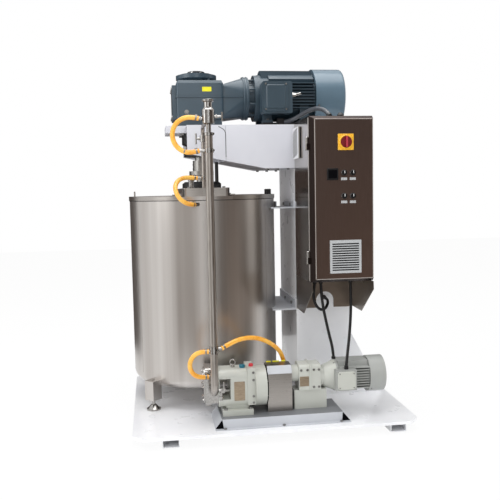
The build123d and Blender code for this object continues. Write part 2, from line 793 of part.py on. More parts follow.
def rotor(axis_z, start, end_x):
    """A rotor with its shaft, from the pump chamber to end_x."""
    plane = Plane(at(chamber_left + rotor_gap, pump_y, axis_z), x_dir=(0, 1, 0), z_dir=(1, 0, 0))
    span = pi / lobe_count
    with BuildPart() as piece:
        with BuildSketch(plane):
            with BuildLine():
                for arc in range(2 * lobe_count):
                    angles = [span * (arc + step / lobe_steps) for step in range(lobe_steps + 1)]
                    Spline(*[lobe_point(angle, arc % 2 == 0, start) for angle in angles])
            make_face()
        extrude(amount=rotor_width)
        rod((chamber_left + rotor_gap, pump_y, axis_z), (end_x, pump_y, axis_z), pump_shaft_r)
        rod((timing_left, pump_y, axis_z), (timing_right, pump_y, axis_z), rotor_pitch - rotor_gap)
    return piece.part


quarter = pi / 2
write(rotor(pump_axis, -quarter - pi / (2 * lobe_count), drive_end), "rotor_upper")
write(rotor(lower_axis, quarter + pi / (2 * lobe_count), 182.0), "rotor_lower")

# Pump head: a stainless block with two joined bores, ports front and back
pump_head_low = 183.0
pump_head_high = 423.0
head_half = 75.0
chamber_r = rotor_pitch + 2 * roll_r + rotor_gap
port_r = 17.0
port_collar_r = 30.0
front_collar = 16.0
back_collar = 12.0
shaft_hole = pump_shaft_r + run_gap

with BuildPart() as pump_head:
    head_front = pump_y - head_half
    head_back = pump_y + head_half
    block((head_left_x, head_right_x), (head_front, head_back), (pump_head_low, pump_head_high))
    fillet(pump_head.edges().filter_by(Axis.X), 30.0)
    for axis_z in (pump_axis, lower_axis):
        rod((chamber_left, pump_y, axis_z), (chamber_right, pump_y, axis_z), chamber_r, Mode.SUBTRACT)
        rod((chamber_right, pump_y, axis_z), (head_right_x, pump_y, axis_z), shaft_hole, Mode.SUBTRACT)
    port_front = head_front - front_collar
    port_back = head_back + back_collar
    rod((riser_x, port_front, port_z), (riser_x, head_front, port_z), port_collar_r)
    rod((riser_x, head_back, port_z), (riser_x, port_back, port_z), port_collar_r)
    rod((riser_x, port_front - 1, port_z), (riser_x, port_back + 1, port_z), port_r, Mode.SUBTRACT)
write(pump_head.part, "pump_head")

# Pump gear case: a rounded casting on a foot, with an open lantern next to the head and a round flange
case_right = 192.0
case_low = 175.0
case_high = 405.0
case_half = 85.0
round_flange_r = 124.0
flange_mid = 284.0
window_low = 227.0
window_high = 354.0

with BuildPart() as pump_gearcase:
    block((head_right_x, case_right), (pump_y - case_half, pump_y + case_half), (case_low, case_high))
    fillet(pump_gearcase.edges().filter_by(Axis.X), 40.0)
    block((case_right, 241.0), (pump_y - 90, pump_y + 90), (case_low + 12, case_high + 8))
    rod((241.0, pump_y, flange_mid), (310.0, pump_y, flange_mid), round_flange_r)
    block((21.0, 88.0), (pump_y - 100, pump_y + 100), (window_low, window_high), Mode.SUBTRACT)
    block((98.0, 178.0), (pump_y - 60, pump_y + 60), (case_low + 14, case_high - 12), Mode.SUBTRACT)
    rod((head_right_x, pump_y, pump_axis), (310.0, pump_y, pump_axis), shaft_hole, Mode.SUBTRACT)
    rod((head_right_x, pump_y, lower_axis), (184.0, pump_y, lower_axis), shaft_hole, Mode.SUBTRACT)
    block((38.0, 223.0), (pump_y - 108, pump_y + 108), (frame_top, 166.0))
    block((60.0, 205.0), (pump_y - 70, pump_y + 70), (160.0, case_low + 10))
write(pump_gearcase.part, "pump_gearcase")

# Flexible drive coupling: two hubs with a spider between them
coupling_left = 330.0
coupling_end = 448.0
hub_r = 42.0

with BuildPart() as drive_coupling:
    rod((coupling_left, pump_y, pump_axis), (coupling_end, pump_y, pump_axis), hub_r)
    rod((coupling_left, pump_y, pump_axis), (drive_end, pump_y, pump_axis), pump_shaft_r, Mode.SUBTRACT)
    for groove_x in (374.0, 398.0):
        rod((groove_x, pump_y, pump_axis), (groove_x + 6, pump_y, pump_axis), hub_r, Mode.SUBTRACT)
        rod((groove_x, pump_y, pump_axis), (groove_x + 6, pump_y, pump_axis), hub_r - 5)
    rod((coupling_end, pump_y, pump_axis), (530.0, pump_y, pump_axis), pump_shaft_r)
write(drive_coupling.part, "drive_coupling")

# Guard over the coupling: folded sheet with bevelled shoulders, open at both ends
guard_left = 318.0
guard_right = 470.0
guard_half = 74.0
guard_high = 412.0
guard_fold = 48.0
guard_sheet = 3.0

with BuildPart() as coupling_guard:
    for inset, guard_mode in ((0.0, Mode.ADD), (guard_sheet, Mode.SUBTRACT)):
        with BuildSketch(Plane(at(guard_left, pump_y, 0), x_dir=(0, 1, 0), z_dir=(1, 0, 0))):
            with BuildLine():
                Polyline(
                    (-guard_half + inset, frame_top),
                    (-guard_half + inset, guard_high - guard_fold),
                    (-guard_half / 2 - 10, guard_high - inset),
                    (guard_half / 2 + 10, guard_high - inset),
                    (guard_half - inset, guard_high - guard_fold),
                    (guard_half - inset, frame_top),
                    close=True,
                )
            make_face()
        extrude(amount=guard_right - guard_left, mode=guard_mode)
write(coupling_guard.part, "coupling_guard")

# Reducer: a neck, a ribbed housing on its pedestal and a bell that carries the pump motor
reducer_left = 517.0
reducer_right = 653.0
bell_left = 677.0
bell_right = 752.0
pedestal_top = 250.0
small_shaft_r = 12.0
reducer_high = 410.0

with BuildPart() as reducer_housing:
    block((488.0, 692.0), (pump_y - 54, pump_y + 54), (frame_top, pedestal_top))
    block((reducer_left, reducer_right), (pump_y - 66, pump_y + 66), (pedestal_top, reducer_high))
    fillet(reducer_housing.edges().filter_by(Axis.X).group_by(Axis.Z)[-1], 22.0)
    block((583.0, 592.0), (pump_y - 70, pump_y + 70), (pedestal_top, reducer_high + 4))
    rod((guard_right + 1, pump_y, pump_axis), (reducer_left, pump_y, pump_axis), 52.0)
    rod((guard_right, pump_y, pump_axis), (532.0, pump_y, pump_axis), shaft_hole, Mode.SUBTRACT)
    rod((reducer_right, pump_y, pump_motor_axis), (bell_left, pump_y, pump_motor_axis), 62.0)
    taper((bell_left, pump_y, pump_motor_axis), (bell_right, pump_y, pump_motor_axis), 66.0, 96.0)
    bore_start = (640.0, pump_y, pump_motor_axis)
    rod(bore_start, (bell_right, pump_y, pump_motor_axis), small_shaft_r + run_gap, Mode.SUBTRACT)
write(reducer_housing.part, "reducer_housing")

# Pump motor: ribbed frame with a terminal box, and its fan cover as a separate cap
pump_frame_end = 960.0
pump_cover_end = 1062.0
pump_cover_r = 112.0
pump_cover_wall = 3.0
pump_fin_count = 9
pump_fin_pitch = 16.0
web_thick = 10.0


def on_motor(x):
    """A point on the pump motor's axis."""
    return x, pump_y, pump_motor_axis


with BuildPart() as pump_motor:
    rod(on_motor(bell_right), on_motor(bell_right + 12), 98.0)
    rod(on_motor(bell_right + 12), on_motor(pump_frame_end), pump_motor_r)
    pump_fin_run = (bell_right + 14, pump_frame_end - 4)
    for fin in range(pump_fin_count):
        fin_z = pump_motor_axis + (fin - (pump_fin_count - 1) / 2) * pump_fin_pitch
        block(pump_fin_run, (pump_y - 104, pump_y + 104), (fin_z - 2.5, fin_z + 2.5))
    block(pump_fin_run, (pump_y - 60, pump_y + 60), (pump_motor_axis, pump_motor_axis + 98))
    block((729.0, 858.0), (pump_y - 155, pump_y - 99), (258.0, 384.0))
    rod(on_motor(bell_right - 1), on_motor(pump_frame_end + 1), 66.0, Mode.SUBTRACT)
    for web_x in (bell_right, pump_frame_end - web_thick):
        rod(on_motor(web_x), on_motor(web_x + web_thick), 68.0)
        rod(on_motor(web_x - 1), on_motor(web_x + web_thick + 1), small_shaft_r + run_gap, Mode.SUBTRACT)
    cover_left = pump_frame_end + seat_gap
    hollow_r = pump_cover_r - pump_cover_wall
    rod(on_motor(cover_left), on_motor(pump_cover_end), pump_cover_r)
    hollow_end = on_motor(pump_cover_end - pump_cover_wall)
    rod(on_motor(cover_left + pump_cover_wall), hollow_end, hollow_r, Mode.SUBTRACT)
    rod(on_motor(cover_left - 1), on_motor(cover_left + 4), 70.0, Mode.SUBTRACT)
    with BuildSketch(Plane(at(*on_motor(pump_cover_end - 4)), z_dir=(1, 0, 0))):
        with PolarLocations(58, 14):
            SlotOverall(58, 8)
    extrude(amount=5, mode=Mode.SUBTRACT)
write(pump_motor.part, "pump_motor")

# Pump motor rotor: shaft, core and fan
fan_x = pump_frame_end + 54

with BuildPart() as pump_motor_rotor:
    rod(on_motor(646.0), on_motor(pump_cover_end - 18), small_shaft_r)
    rod(on_motor(780.0), on_motor(pump_frame_end - 26), 56.0)
    for blade in range(6):
        turn = radians(60 * blade)
        tip = (fan_x, pump_y + 90 * cos(turn), pump_motor_axis + 90 * sin(turn))
        rod(on_motor(fan_x), tip, 5.0)
write(pump_motor_rotor.part, "pump_motor_rotor")

# Riser: a jacketed pipe from the pump's front port, round an elbow and up
riser_bend = 60.0
riser_bore = 17.5
riser_top = 1806.0
elbow_start = port_front


def pipe(points, bend, outer, inner):
    """A round pipe along a route with equal bends."""
    with BuildPart() as piece:
        with BuildLine() as route:
            FilletPolyline(*[at(*point) for point in points], radius=bend)
        with BuildSketch(Plane(route.line @ 0, z_dir=route.line % 0)):
            Circle(outer)
            Circle(inner, mode=Mode.SUBTRACT)
        sweep()
    return piece.part


riser_route = ((riser_x, elbow_start, port_z), (riser_x, riser_y, port_z), (riser_x, riser_y, riser_top))
write(pipe(riser_route, riser_bend, riser_r, riser_bore), "riser_pipe")

# Tank outlet: from the vessel's floor down, forward under the tank and up to the pump's rear port
outlet_bend = 38.0
outlet_z = 143.0
outlet_y = -528.0
outlet_inner = outlet_r - 2.0
outlet_route = (
    (0, 0, vessel_floor + vessel_wall),
    (0, 0, outlet_z),
    (0, outlet_y + 90, outlet_z),
    (riser_x, outlet_y, outlet_z),
    (riser_x, outlet_y, port_z),
    (riser_x, port_back, port_z),
)
write(pipe(outlet_route, (60.0, 60.0, outlet_bend, outlet_bend), outlet_r, outlet_inner), "tank_outlet")

# Riser head: clamp, neck, body and top ferrule, with stubs for the return pipe, a hose and a small valve
body_r = 36.5
return_z = 1895.0
hose_a_start = -71.0
valve_z = 1914.0
valve_x = 46.0

with BuildPart() as riser_head:
    turned(
        (
            (11.0, riser_top),
            (riser_r + 4, riser_top),
            (riser_r + 4, riser_top + 17),
            (14.5, riser_top + 20),
            (14.5, 1868.0),
            (body_r, 1876.0),
            (body_r, 1951.0),
            (24.0, 1966.0),
            (24.0, 1994.0),
            (32.0, 1999.0),
            (32.0, 2010.0),
            (riser_bore, 2010.0),
            (riser_bore, 1950.0),
            (11.0, 1944.0),
        ),
        riser_x,
        riser_y,
    )
    rod((riser_x - body_r + 2, riser_y, 1903.0), (hose_a_start, riser_y, 1903.0), 8.0)
    hexagon((-66, riser_y, 1903.0), (-58, riser_y, 1903.0), 13.0)
    rod((riser_x + body_r - 2, riser_y, valve_z), (valve_x, riser_y, valve_z), 8.0)
    hexagon((26.0, riser_y, valve_z), (34.0, riser_y, valve_z), 13.0)
    rod((riser_x, riser_y + body_r - 4, return_z), (riser_x, riser_y + body_r + 14, return_z), pipe_r + 5)
    rod((riser_x, riser_y + 20, return_z), (riser_x, riser_y + body_r + 15, return_z), 9.0, Mode.SUBTRACT)
write(riser_head.part, "riser_head")

# Return pipe: back from the riser head, then down through the bridge
return_start = riser_y + body_r + 14.0
return_route = (
    (riser_x, return_start, return_z),
    (riser_x, drop_y, return_z),
    (riser_x, drop_y, bridge_top - 25),
)
write(pipe(return_route, 50.0, pipe_r, pipe_r - pipe_wall), "return_pipe")

# Small fittings on the pipes: collars with hose tails, valve bodies and the stand pipe behind the guard
tail_r = 9.0
collar_wall = 4.0
hose_a_low = 1721.0
hose_c_start = -46.0
hose_c_z = 551.0
hose_c_end_y = -790.0
hose_c_end_z = 383.0
hose_d_start = 30.0
hose_d_z = 566.0
stand_x = 455.0
stand_y = -577.0
stand_top = 386.0
return_valve_z = 1822.0
return_valve_x = -48.0
hose_b_start = -58.0
hose_b_z = 1574.0
tank_port = (-88.0, -528.0, 1408.0)
drain_x = 36.0
drain_y = riser_y + 14.0
drain_z = 312.0


def collar(y, z, half, outer, inner):
    """A clamp collar round an upright pipe of the riser's place along X."""
    rod((riser_x, y, z - half), (riser_x, y, z + half), outer)
    rod((riser_x, y, z - half), (riser_x, y, z + half), inner, Mode.SUBTRACT)


with BuildPart() as pipe_fittings:
    for collar_z, half in ((hose_a_low, 13.0), ((hose_c_z + hose_d_z) / 2, 22.0)):
        collar(riser_y, collar_z, half, riser_r + collar_wall, riser_r + seat_gap)
    tail_left = riser_x - riser_r - 2
    rod((tail_left, riser_y, hose_a_low), (hose_a_start, riser_y, hose_a_low), tail_r)
    rod((tail_left, riser_y, hose_c_z), (hose_c_start, riser_y, hose_c_z), tail_r)
    rod((riser_x + riser_r + 2, riser_y, hose_d_z), (hose_d_start, riser_y, hose_d_z), tail_r)
    for collar_z, half, ring_r in ((hose_b_z, 12.0, 17.0), (return_valve_z, 20.0, 20.0)):
        collar(drop_y, collar_z, half, ring_r, pipe_r + seat_gap)
    rod((riser_x - 16, drop_y, hose_b_z), (hose_b_start, drop_y, hose_b_z), tail_r)
    rod((riser_x - 19, drop_y, return_valve_z), (return_valve_x, drop_y, return_valve_z), 8.0)
    elbow_x = -30.0
    rod((elbow_x, head_front, hose_c_end_z), (elbow_x, hose_c_end_y - tail_r - 3, hose_c_end_z), tail_r + 2)
    rod((elbow_x, hose_c_end_y, hose_c_end_z), (hose_c_start, hose_c_end_y, hose_c_end_z), tail_r)
    rod((stand_x, stand_y, frame_top), (stand_x, stand_y, stand_top), 11.0)
    hexagon((stand_x, stand_y, stand_top - 46), (stand_x, stand_y, stand_top - 22), 16.0)
    hexagon((stand_x, stand_y, frame_top), (stand_x, stand_y, frame_top + 10), 16.0)
    rod((riser_x + riser_r + seat_gap, drain_y, drain_z - 2), (drain_x + 10, drain_y, drain_z - 2), 10.0)
    block((drain_x - 16, drain_x + 6), (drain_y - 14, drain_y + 14), (drain_z - 16, drain_z + 13))
    rod((drain_x - 14, drain_y, drain_z - 64), (drain_x - 14, drain_y, drain_z - 12), 8.0)
    hexagon((drain_x - 14, drain_y, drain_z - 50), (drain_x - 14, drain_y, drain_z - 38), 13.0)
    rod(tank_port, (tank_port[0] + 35, tank_port[1] + 50, tank_port[2]), 12.0)
    rod((0, 0, tank_port[2] - 40), (0, 0, tank_port[2] + 40), tank_r + seat_gap, Mode.SUBTRACT)
write(pipe_fittings.part, "pipe_fittings")

# Valve levers: a short spindle with a bar across it, or a bar that stands to one side

with BuildPart() as outlet_valve_lever:
    rod((valve_x + seat_gap, riser_y, valve_z), (valve_x + 12, riser_y, valve_z), 7.0)
    rod((valve_x + 17, riser_y, valve_z - 26), (valve_x + 17, riser_y, valve_z + 26), 6.0)
write(outlet_valve_lever.part, "outlet_valve_lever")

with BuildPart() as return_valve_lever:
    bar_x = return_valve_x - 12
    rod((return_valve_x - seat_gap, drop_y, return_valve_z), (bar_x + 4, drop_y, return_valve_z), 6.0)
    rod((bar_x, drop_y, return_valve_z - 34), (bar_x, drop_y, return_valve_z + 34), 5.5)
write(return_valve_lever.part, "return_valve_lever")

with BuildPart() as drain_valve_lever:
    spindle_y = drain_y - 14
    rod((drain_x, spindle_y - seat_gap, drain_z), (drain_x, spindle_y - 12, drain_z), 7.0)
    rod((drain_x, spindle_y - 8, drain_z), (drain_x, spindle_y - 8, drain_z + 52), 5.0)
write(drain_valve_lever.part, "drain_valve_lever")

# Cabinet body: a box open to the front, with hinge knuckles, a louvre, and the panel inside on its posts
door_hinge_x = column_left - 10.0
door_hinge_y = cabinet_front + 6.0
hinge_heights = (1765.0, 1069.0)
knuckle_half = 38.0
louvre_front = -470.0
louvre_back = -295.0
louvre_low = 1690.0
louvre_high = 1890.0
louvre_proud = 14.0
panel_y = column_front - 28.0

with BuildPart() as cabinet_body:
    block((column_left, cabinet_right), (cabinet_front, column_front), (cabinet_low, cabinet_high))
    block(
        (column_left + cabinet_wall, cabinet_right - cabinet_wall),
        (cabinet_front, column_front - cabinet_wall),
        (cabinet_low + cabinet_wall, cabinet_high - cabinet_wall),
        Mode.SUBTRACT,
    )
    for post_x in (column_left + 60, cabinet_right - 60):
        for post_z in (cabinet_low + 60, cabinet_high - 60):
            rod((post_x, column_front - cabinet_wall, post_z), (post_x, panel_y, post_z), 8.0)
    for hinge_height in hinge_heights:
        knuckle_run = (hinge_height, hinge_height + knuckle_half)
        knuckle_foot = (door_hinge_x, door_hinge_y, hinge_height)
        rod(knuckle_foot, (door_hinge_x, door_hinge_y, hinge_height + knuckle_half), hinge_r)
        block((door_hinge_x, column_left), (door_hinge_y - 3, door_hinge_y + 3), knuckle_run)
        block((column_left - 3, column_left), (door_hinge_y, door_hinge_y + 36), knuckle_run)
        rod((door_hinge_x, door_hinge_y, hinge_height - knuckle_half), knuckle_foot, pin_r)
    block((column_left - louvre_proud, column_left), (louvre_front, louvre_back), (louvre_low, louvre_high))
    for slat in range(11):
        slat_z = louvre_low + 12 + slat * 16.5
        block(
            (column_left - louvre_proud - 1, column_left - 4),
            (louvre_front + 10, louvre_back - 10),
            (slat_z, slat_z + 8),
            Mode.SUBTRACT,
        )
    block(
        (column_left + 40, cabinet_right - 40),
        (panel_y - 3 - seat_gap, panel_y - seat_gap),
        (cabinet_low + 40, cabinet_high - 40),
    )
    for rail_z, device_width, device_count, device_depth in (
        (1730.0, 62.0, 4, 90.0),
        (1500.0, 46.0, 5, 70.0),
        (1270.0, 36.0, 6, 60.0),
        (1080.0, 14.0, 16, 46.0),
    ):
        block((column_left + 55, cabinet_right - 55), (panel_y - 12, panel_y - 3), (rail_z - 17, rail_z + 17))
        for device in range(device_count):
            device_x = column_left + 62 + device * (device_width + 3)
            block(
                (device_x, device_x + device_width),
                (panel_y - 12 - device_depth, panel_y - 11),
                (rail_z - device_depth * 0.7, rail_z + device_depth * 0.7),
            )
write(cabinet_body.part, "cabinet_body")

# Cabinet door: a hollow tray with bevelled borders, hung on two knuckles
bevel = 18.0
left_bevel = 30.0
door_skin = 3.0

with BuildPart() as cabinet_door:
    door_mid_z = (cabinet_low + cabinet_high) / 2
    back_mid_x = (column_left + cabinet_right) / 2
    face_left = column_left + left_bevel
    face_right = cabinet_right - 2
    with BuildSketch(Plane(at(back_mid_x, door_back, door_mid_z), x_dir=(1, 0, 0), z_dir=(0, -1, 0))):
        Rectangle(cabinet_right - column_left, cabinet_high - cabinet_low)
    with BuildSketch(
        Plane(at((face_left + face_right) / 2, door_face, door_mid_z), x_dir=(1, 0, 0), z_dir=(0, -1, 0))
    ):
        Rectangle(face_right - face_left, cabinet_high - cabinet_low - 2 * bevel)
    loft()
    block(
        (face_left + 6, face_right - 6),
        (door_face + door_skin, door_back),
        (cabinet_low + bevel + 6, cabinet_high - bevel - 6),
        Mode.SUBTRACT,
    )
    for hinge_height in hinge_heights:
        knuckle_low = hinge_height - knuckle_half
        knuckle_high = hinge_height - seat_gap
        rod((door_hinge_x, door_hinge_y, knuckle_low), (door_hinge_x, door_hinge_y, knuckle_high), hinge_r)
        knuckle_run = (knuckle_low, knuckle_high)
        block((door_hinge_x - 5, door_hinge_x + 5), (door_back - 2, door_hinge_y), knuckle_run)
        block((door_hinge_x - 5, column_left + 8), (door_back - 6, door_back), knuckle_run)
        pin_low = (door_hinge_x, door_hinge_y, knuckle_low - 1)
        pin_high = (door_hinge_x, door_hinge_y, hinge_height + 1)
        rod(pin_low, pin_high, pin_r + run_gap, Mode.SUBTRACT)
write(cabinet_door.part, "cabinet_door")

# Fittings on the door: switch plate, controller, selector bezels, blank label plates and the vent grille
switch_x = 828.0
switch_z = 1772.0
switch_plate = 97.0
selector_places = ((816.0, 1586.0), (871.0, 1586.0), (816.0, 1445.0), (871.0, 1445.0))
bezel_r = 16.0
bezel_depth = 8.0
grille_left = 723.0
grille_right = 921.0
grille_low = 970.0
grille_high = 1174.0

with BuildPart() as door_fittings:
    half_plate = switch_plate / 2
    block(
        (switch_x - half_plate, switch_x + half_plate),
        (door_face - 4, door_face),
        (switch_z - half_plate, switch_z + half_plate),
    )
    block((712.0, 776.0), (door_face - 6, door_face), (1545.0, 1611.0))
    for selector_x, selector_z in selector_places:
        rod((selector_x, door_face, selector_z), (selector_x, door_face - bezel_depth, selector_z), bezel_r)
        label_high = selector_z - 29
        block((selector_x - 19, selector_x + 19), (door_face - 1.5, door_face), (label_high - 16, label_high))
    block((grille_left, grille_right), (door_face - 8, door_face), (grille_low, grille_high))
    for slat in range(12):
        slat_z = grille_low + 16 + slat * 14.6
        block(
            (grille_left + 14, grille_right - 14),
            (door_face - 9, door_face - 2.5),
            (slat_z, slat_z + 8),
            Mode.SUBTRACT,
        )
write(door_fittings.part, "door_fittings")


def knob(x, z, seat_y, radius, depth, grip):
    """A turning knob on the door: a round base and a grip bar across it."""
    with BuildPart() as piece:
        rod((x, seat_y - seat_gap, z), (x, seat_y - depth, z), radius)
        grip_back = seat_y - depth
        block((x - grip / 2, x + grip / 2), (grip_back - grip, grip_back), (z - radius + 1, z + radius - 1))
    return piece.part


write(knob(switch_x, switch_z, door_face - 4, 35.0, 14.0, 13.0), "main_switch_knob")
for number, (selector_x, selector_z) in enumerate(selector_places, 1):
    write(knob(selector_x, selector_z, door_face - bezel_depth, 13.0, 5.0, 7.0), f"selector_{number}")

# Console below the cabinet: two side wings and a back plate with a cable notch
console_high = cabinet_low - seat_gap
wing_sheet = 3.0
notch_r = 61.0
notch_x = 801.0
notch_z = 731.0
console_low = 682.0
wing_low = 688.0

with BuildPart() as cabinet_console:
    for wing_x in (column_left, column_right + wing_sheet):
        with BuildSketch(Plane(at(wing_x, 0, 0), x_dir=(0, 1, 0), z_dir=(1, 0, 0))):
            with BuildLine():
                Polyline(
                    (column_front, console_high),
                    (column_front - 470, console_high),
                    (column_front - 475, 865),
                    (column_front - 225, wing_low),
                    (column_front, wing_low),
                    close=True,
                )
            make_face()
        extrude(amount=wing_sheet)
    plate_run = (column_left, column_right + 2 * wing_sheet)
    block(plate_run, (column_front - wing_sheet, column_front), (console_low, console_high))
    notch_run = (column_front - wing_sheet - 1, column_front)
    block((notch_x - notch_r, notch_x + notch_r), notch_run, (console_low, notch_z), Mode.SUBTRACT)
    rod((notch_x, notch_run[0], notch_z), (notch_x, column_front, notch_z), notch_r, Mode.SUBTRACT)
write(cabinet_console.part, "cabinet_console")

# Cords: every route is a list of points chosen by hand, and each bend is as large as its two runs allow
hose_riser_top_points = (
    (-71, -850, 1903),
    (-122, -850, 1914),
    (-174, -850, 1900),
    (-212, -850, 1863),
    (-226, -850, 1811),
    (-212, -850, 1759),
    (-174, -850, 1721),
    (-122, -850, 1709),
    (-71, -850, 1721),
)
hose_tank_top_points = (
    (-58, -412, 1574),
    (-98, -420, 1578),
    (-145, -456, 1577),
    (-182, -508, 1562),
    (-205, -562, 1530),
    (-204, -600, 1487),
    (-181, -610, 1445),
    (-144, -592, 1419),
    (-110, -560, 1410),
    (-88, -528, 1408),
)
hose_pump_head_points = (
    (-46, -850, 551),
    (-96, -848, 552),
    (-136, -842, 529),
    (-158, -833, 490),
    (-158, -821, 444),
    (-136, -808, 405),
    (-96, -796, 383),
    (-46, -790, 383),
)
hose_tank_bottom_points = (
    (30, -850, 566),
    (78, -836, 588),
    (150, -800, 607),
    (238, -744, 600),
    (324, -682, 562),
    (398, -628, 503),
    (440, -590, 447),
    (455, -577, 386),
)
cable_pump_points = (
    (888, -602, 893),
    (889, -606, 826),
    (882, -630, 730),
    (866, -668, 640),
    (842, -716, 540),
    (814, -772, 460),
    (801, -797, 405),
)
cable_sensor_points = (
    (695, -600, 893),
    (698, -598, 826),
    (708, -600, 740),
    (727, -608, 640),
    (744, -622, 550),
    (756, -642, 490),
    (758, -655, 432),
)
cable_column_points = (
    (655, -600, 893),
    (646, -600, 838),
    (650, -598, 775),
    (686, -588, 722),
    (734, -550, 718),
    (766, -492, 740),
    (784, -430, 752),
    (792, -366, 755),
    (794, -300, 755),
)
conduit_points = (
    (545, -212, 1944),
    (592, -226, 1952),
    (642, -278, 1986),
    (684, -356, 2020),
    (716, -440, 2027),
    (740, -520, 2004),
    (752, -579, 1970),
    (756, -604, 1949),
)


def corner_radius(points, corner):
    """The largest bend at a corner: 0.45 of its shorter run over the tangent of half its turn."""
    before = at(*points[corner]) - at(*points[corner - 1])
    after = at(*points[corner + 1]) - at(*points[corner])
    half_turn = radians(before.get_angle(after)) / 2
    return 0.45 * min(before.length, after.length) / tan(half_turn)


def cord(points, radius, name):
    """A hose or cable: a solid tube along straight runs joined by arcs."""
    bends = [corner_radius(points, corner) for corner in range(1, len(points) - 1)]
    with BuildPart() as piece:
        with BuildLine() as route:
            FilletPolyline(*[at(*point) for point in points], radius=bends)
        with BuildSketch(Plane(route.line @ 0, z_dir=route.line % 0)):
            Circle(radius)
        sweep()
    length = route.wires()[0].length
    share = piece.part.volume / (pi * radius**2 * length)
    radii = [round(bend) for bend in bends]
    print(name, "length", round(length), "bends", radii, "volume share", round(share, 4))
    write(piece.part, name)


cord(hose_riser_top_points, hose_r, "hose_riser_top")
cord(hose_tank_top_points, hose_r, "hose_tank_top")
cord(hose_pump_head_points, hose_r, "hose_pump_head")
cord(hose_tank_bottom_points, hose_r, "hose_tank_bottom")
cord(cable_pump_points, cable_r, "cable_pump_motor")
cord(cable_sensor_points, cable_r, "cable_sensor")
cord(cable_column_points, cable_r, "cable_column")
cord(conduit_points, conduit_r, "conduit")

# Glands where the cables leave and enter
gland_r = 13.0
pump_gland = cable_pump_points[-1]
sensor_gland = cable_sensor_points[-1]
column_gland = cable_column_points[-1]
roof_gland = conduit_points[-1]
spare_gland = (832.0, -600.0)

with BuildPart() as cable_glands:
    for gland_x, gland_y, gland_low in (cable_pump_points[0], cable_sensor_points[0], cable_column_points[0]):
        rod((gland_x, gland_y, gland_low), (gland_x, gland_y, cabinet_low), gland_r)
        hexagon((gland_x, gland_y, gland_low + 10), (gland_x, gland_y, cabinet_low), 17.0)
    rod((pump_gland[0], pump_gland[1], 384.0), pump_gland, gland_r)
    rod((sensor_gland[0], sensor_gland[1], 418.0), sensor_gland, gland_r)
    rod((column_gland[0], column_front, column_gland[2]), column_gland, 14.0)
    rod((757.0, -612.0, cabinet_high), (757.0, -612.0, 1942.0), 20.0)
    rod(roof_gland, (758.0, -617.0, 1938.0), 17.0)
    rod((*spare_gland, cabinet_high), (*spare_gland, cabinet_high + 16), 22.0)
    taper((*spare_gland, cabinet_high + 16), (*spare_gland, cabinet_high + 30), 22.0, 12.0)
    block((500.0, 545.0), (-232.0, -192.0), (column_top, 1966.0))
    cabinet_slab = (cabinet_high - 50, cabinet_high)
    block((column_left, cabinet_right), (cabinet_front, column_front), cabinet_slab, Mode.SUBTRACT)
write(cable_glands.part, "cable_glands")

# Fasteners with their heads and shanks
with BuildPart() as fasteners:
    for bolt_x, bolt_y in mount_bolts:
        hexagon((bolt_x, bolt_y, mount_low - 12), (bolt_x, bolt_y, mount_low), 15.0)
        rod((bolt_x, bolt_y, mount_low), (bolt_x, bolt_y, mount_top + 30), mount_bolt_r - seat_gap)
    for foot_x in motor_feet_x:
        for foot_y in (-178.0, 178.0):
            hexagon((foot_x, foot_y, motor_foot_top), (foot_x, foot_y, motor_foot_top + 8), 9.5)
    for foot_x in (56.0, 205.0):
        for foot_y in (pump_y - 94, pump_y + 94):
            hexagon((foot_x, foot_y, 166.0), (foot_x, foot_y, 176.0), 12.0)
    for lip_x in (40.0, 395.0, 750.0):
        for lip_y in (sub_front - sub_lean - 15, sub_back + sub_lean + 15):
            hexagon((lip_x, lip_y, plate_z + sub_sheet), (lip_x, lip_y, plate_z + sub_sheet + 8), 10.0)
    for screw_x in (430.0, 500.0, 570.0):
        for screw_y in (-230.0, 230.0):
            hexagon((screw_x, screw_y, beam_low - 9), (screw_x, screw_y, beam_low), 10.0)
    hexagon((-112.0, -400.0, bridge_top), (-112.0, -400.0, bridge_top + 9), 10.0)
    hexagon((112.0, -400.0, bridge_top), (112.0, -400.0, bridge_top + 9), 10.0)
    for screw_z in (lower_stay + 36, upper_stay + 26):
        for screw_y in (-173.0, 60.0):
            head_x = column_left - stay_flange
            hexagon((head_x - 10, screw_y, screw_z), (head_x, screw_y, screw_z), 11.0)
write(fasteners.part, "fasteners")
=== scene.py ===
"""A chocolate ball mill with its finishes, hoses, cables and small fittings.

Metres, +Z up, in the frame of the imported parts. Places are counted from the tank's axis at floor level.
"""

import math

import bmesh
import bpy
import numpy as np
from mathutils import Matrix, Vector


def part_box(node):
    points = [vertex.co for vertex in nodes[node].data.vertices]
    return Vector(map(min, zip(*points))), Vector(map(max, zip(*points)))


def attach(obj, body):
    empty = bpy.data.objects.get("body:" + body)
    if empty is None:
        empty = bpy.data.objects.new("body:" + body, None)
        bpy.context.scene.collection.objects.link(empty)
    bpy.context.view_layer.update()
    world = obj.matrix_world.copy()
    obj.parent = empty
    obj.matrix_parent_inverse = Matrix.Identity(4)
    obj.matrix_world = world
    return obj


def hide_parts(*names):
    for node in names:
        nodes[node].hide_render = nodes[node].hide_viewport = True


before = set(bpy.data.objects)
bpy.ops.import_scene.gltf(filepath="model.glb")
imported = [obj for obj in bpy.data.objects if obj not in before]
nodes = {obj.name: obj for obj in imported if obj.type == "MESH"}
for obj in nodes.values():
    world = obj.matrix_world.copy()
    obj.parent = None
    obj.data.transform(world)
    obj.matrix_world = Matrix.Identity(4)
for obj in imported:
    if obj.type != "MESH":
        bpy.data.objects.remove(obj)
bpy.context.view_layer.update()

jacket_low, jacket_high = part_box("tank_jacket")
tank_x = (jacket_low.x + jacket_high.x) / 2
tank_y = (jacket_low.y + jacket_high.y) / 2
tank_r = (jacket_high.x - jacket_low.x) / 2
tank_rim = jacket_high.z

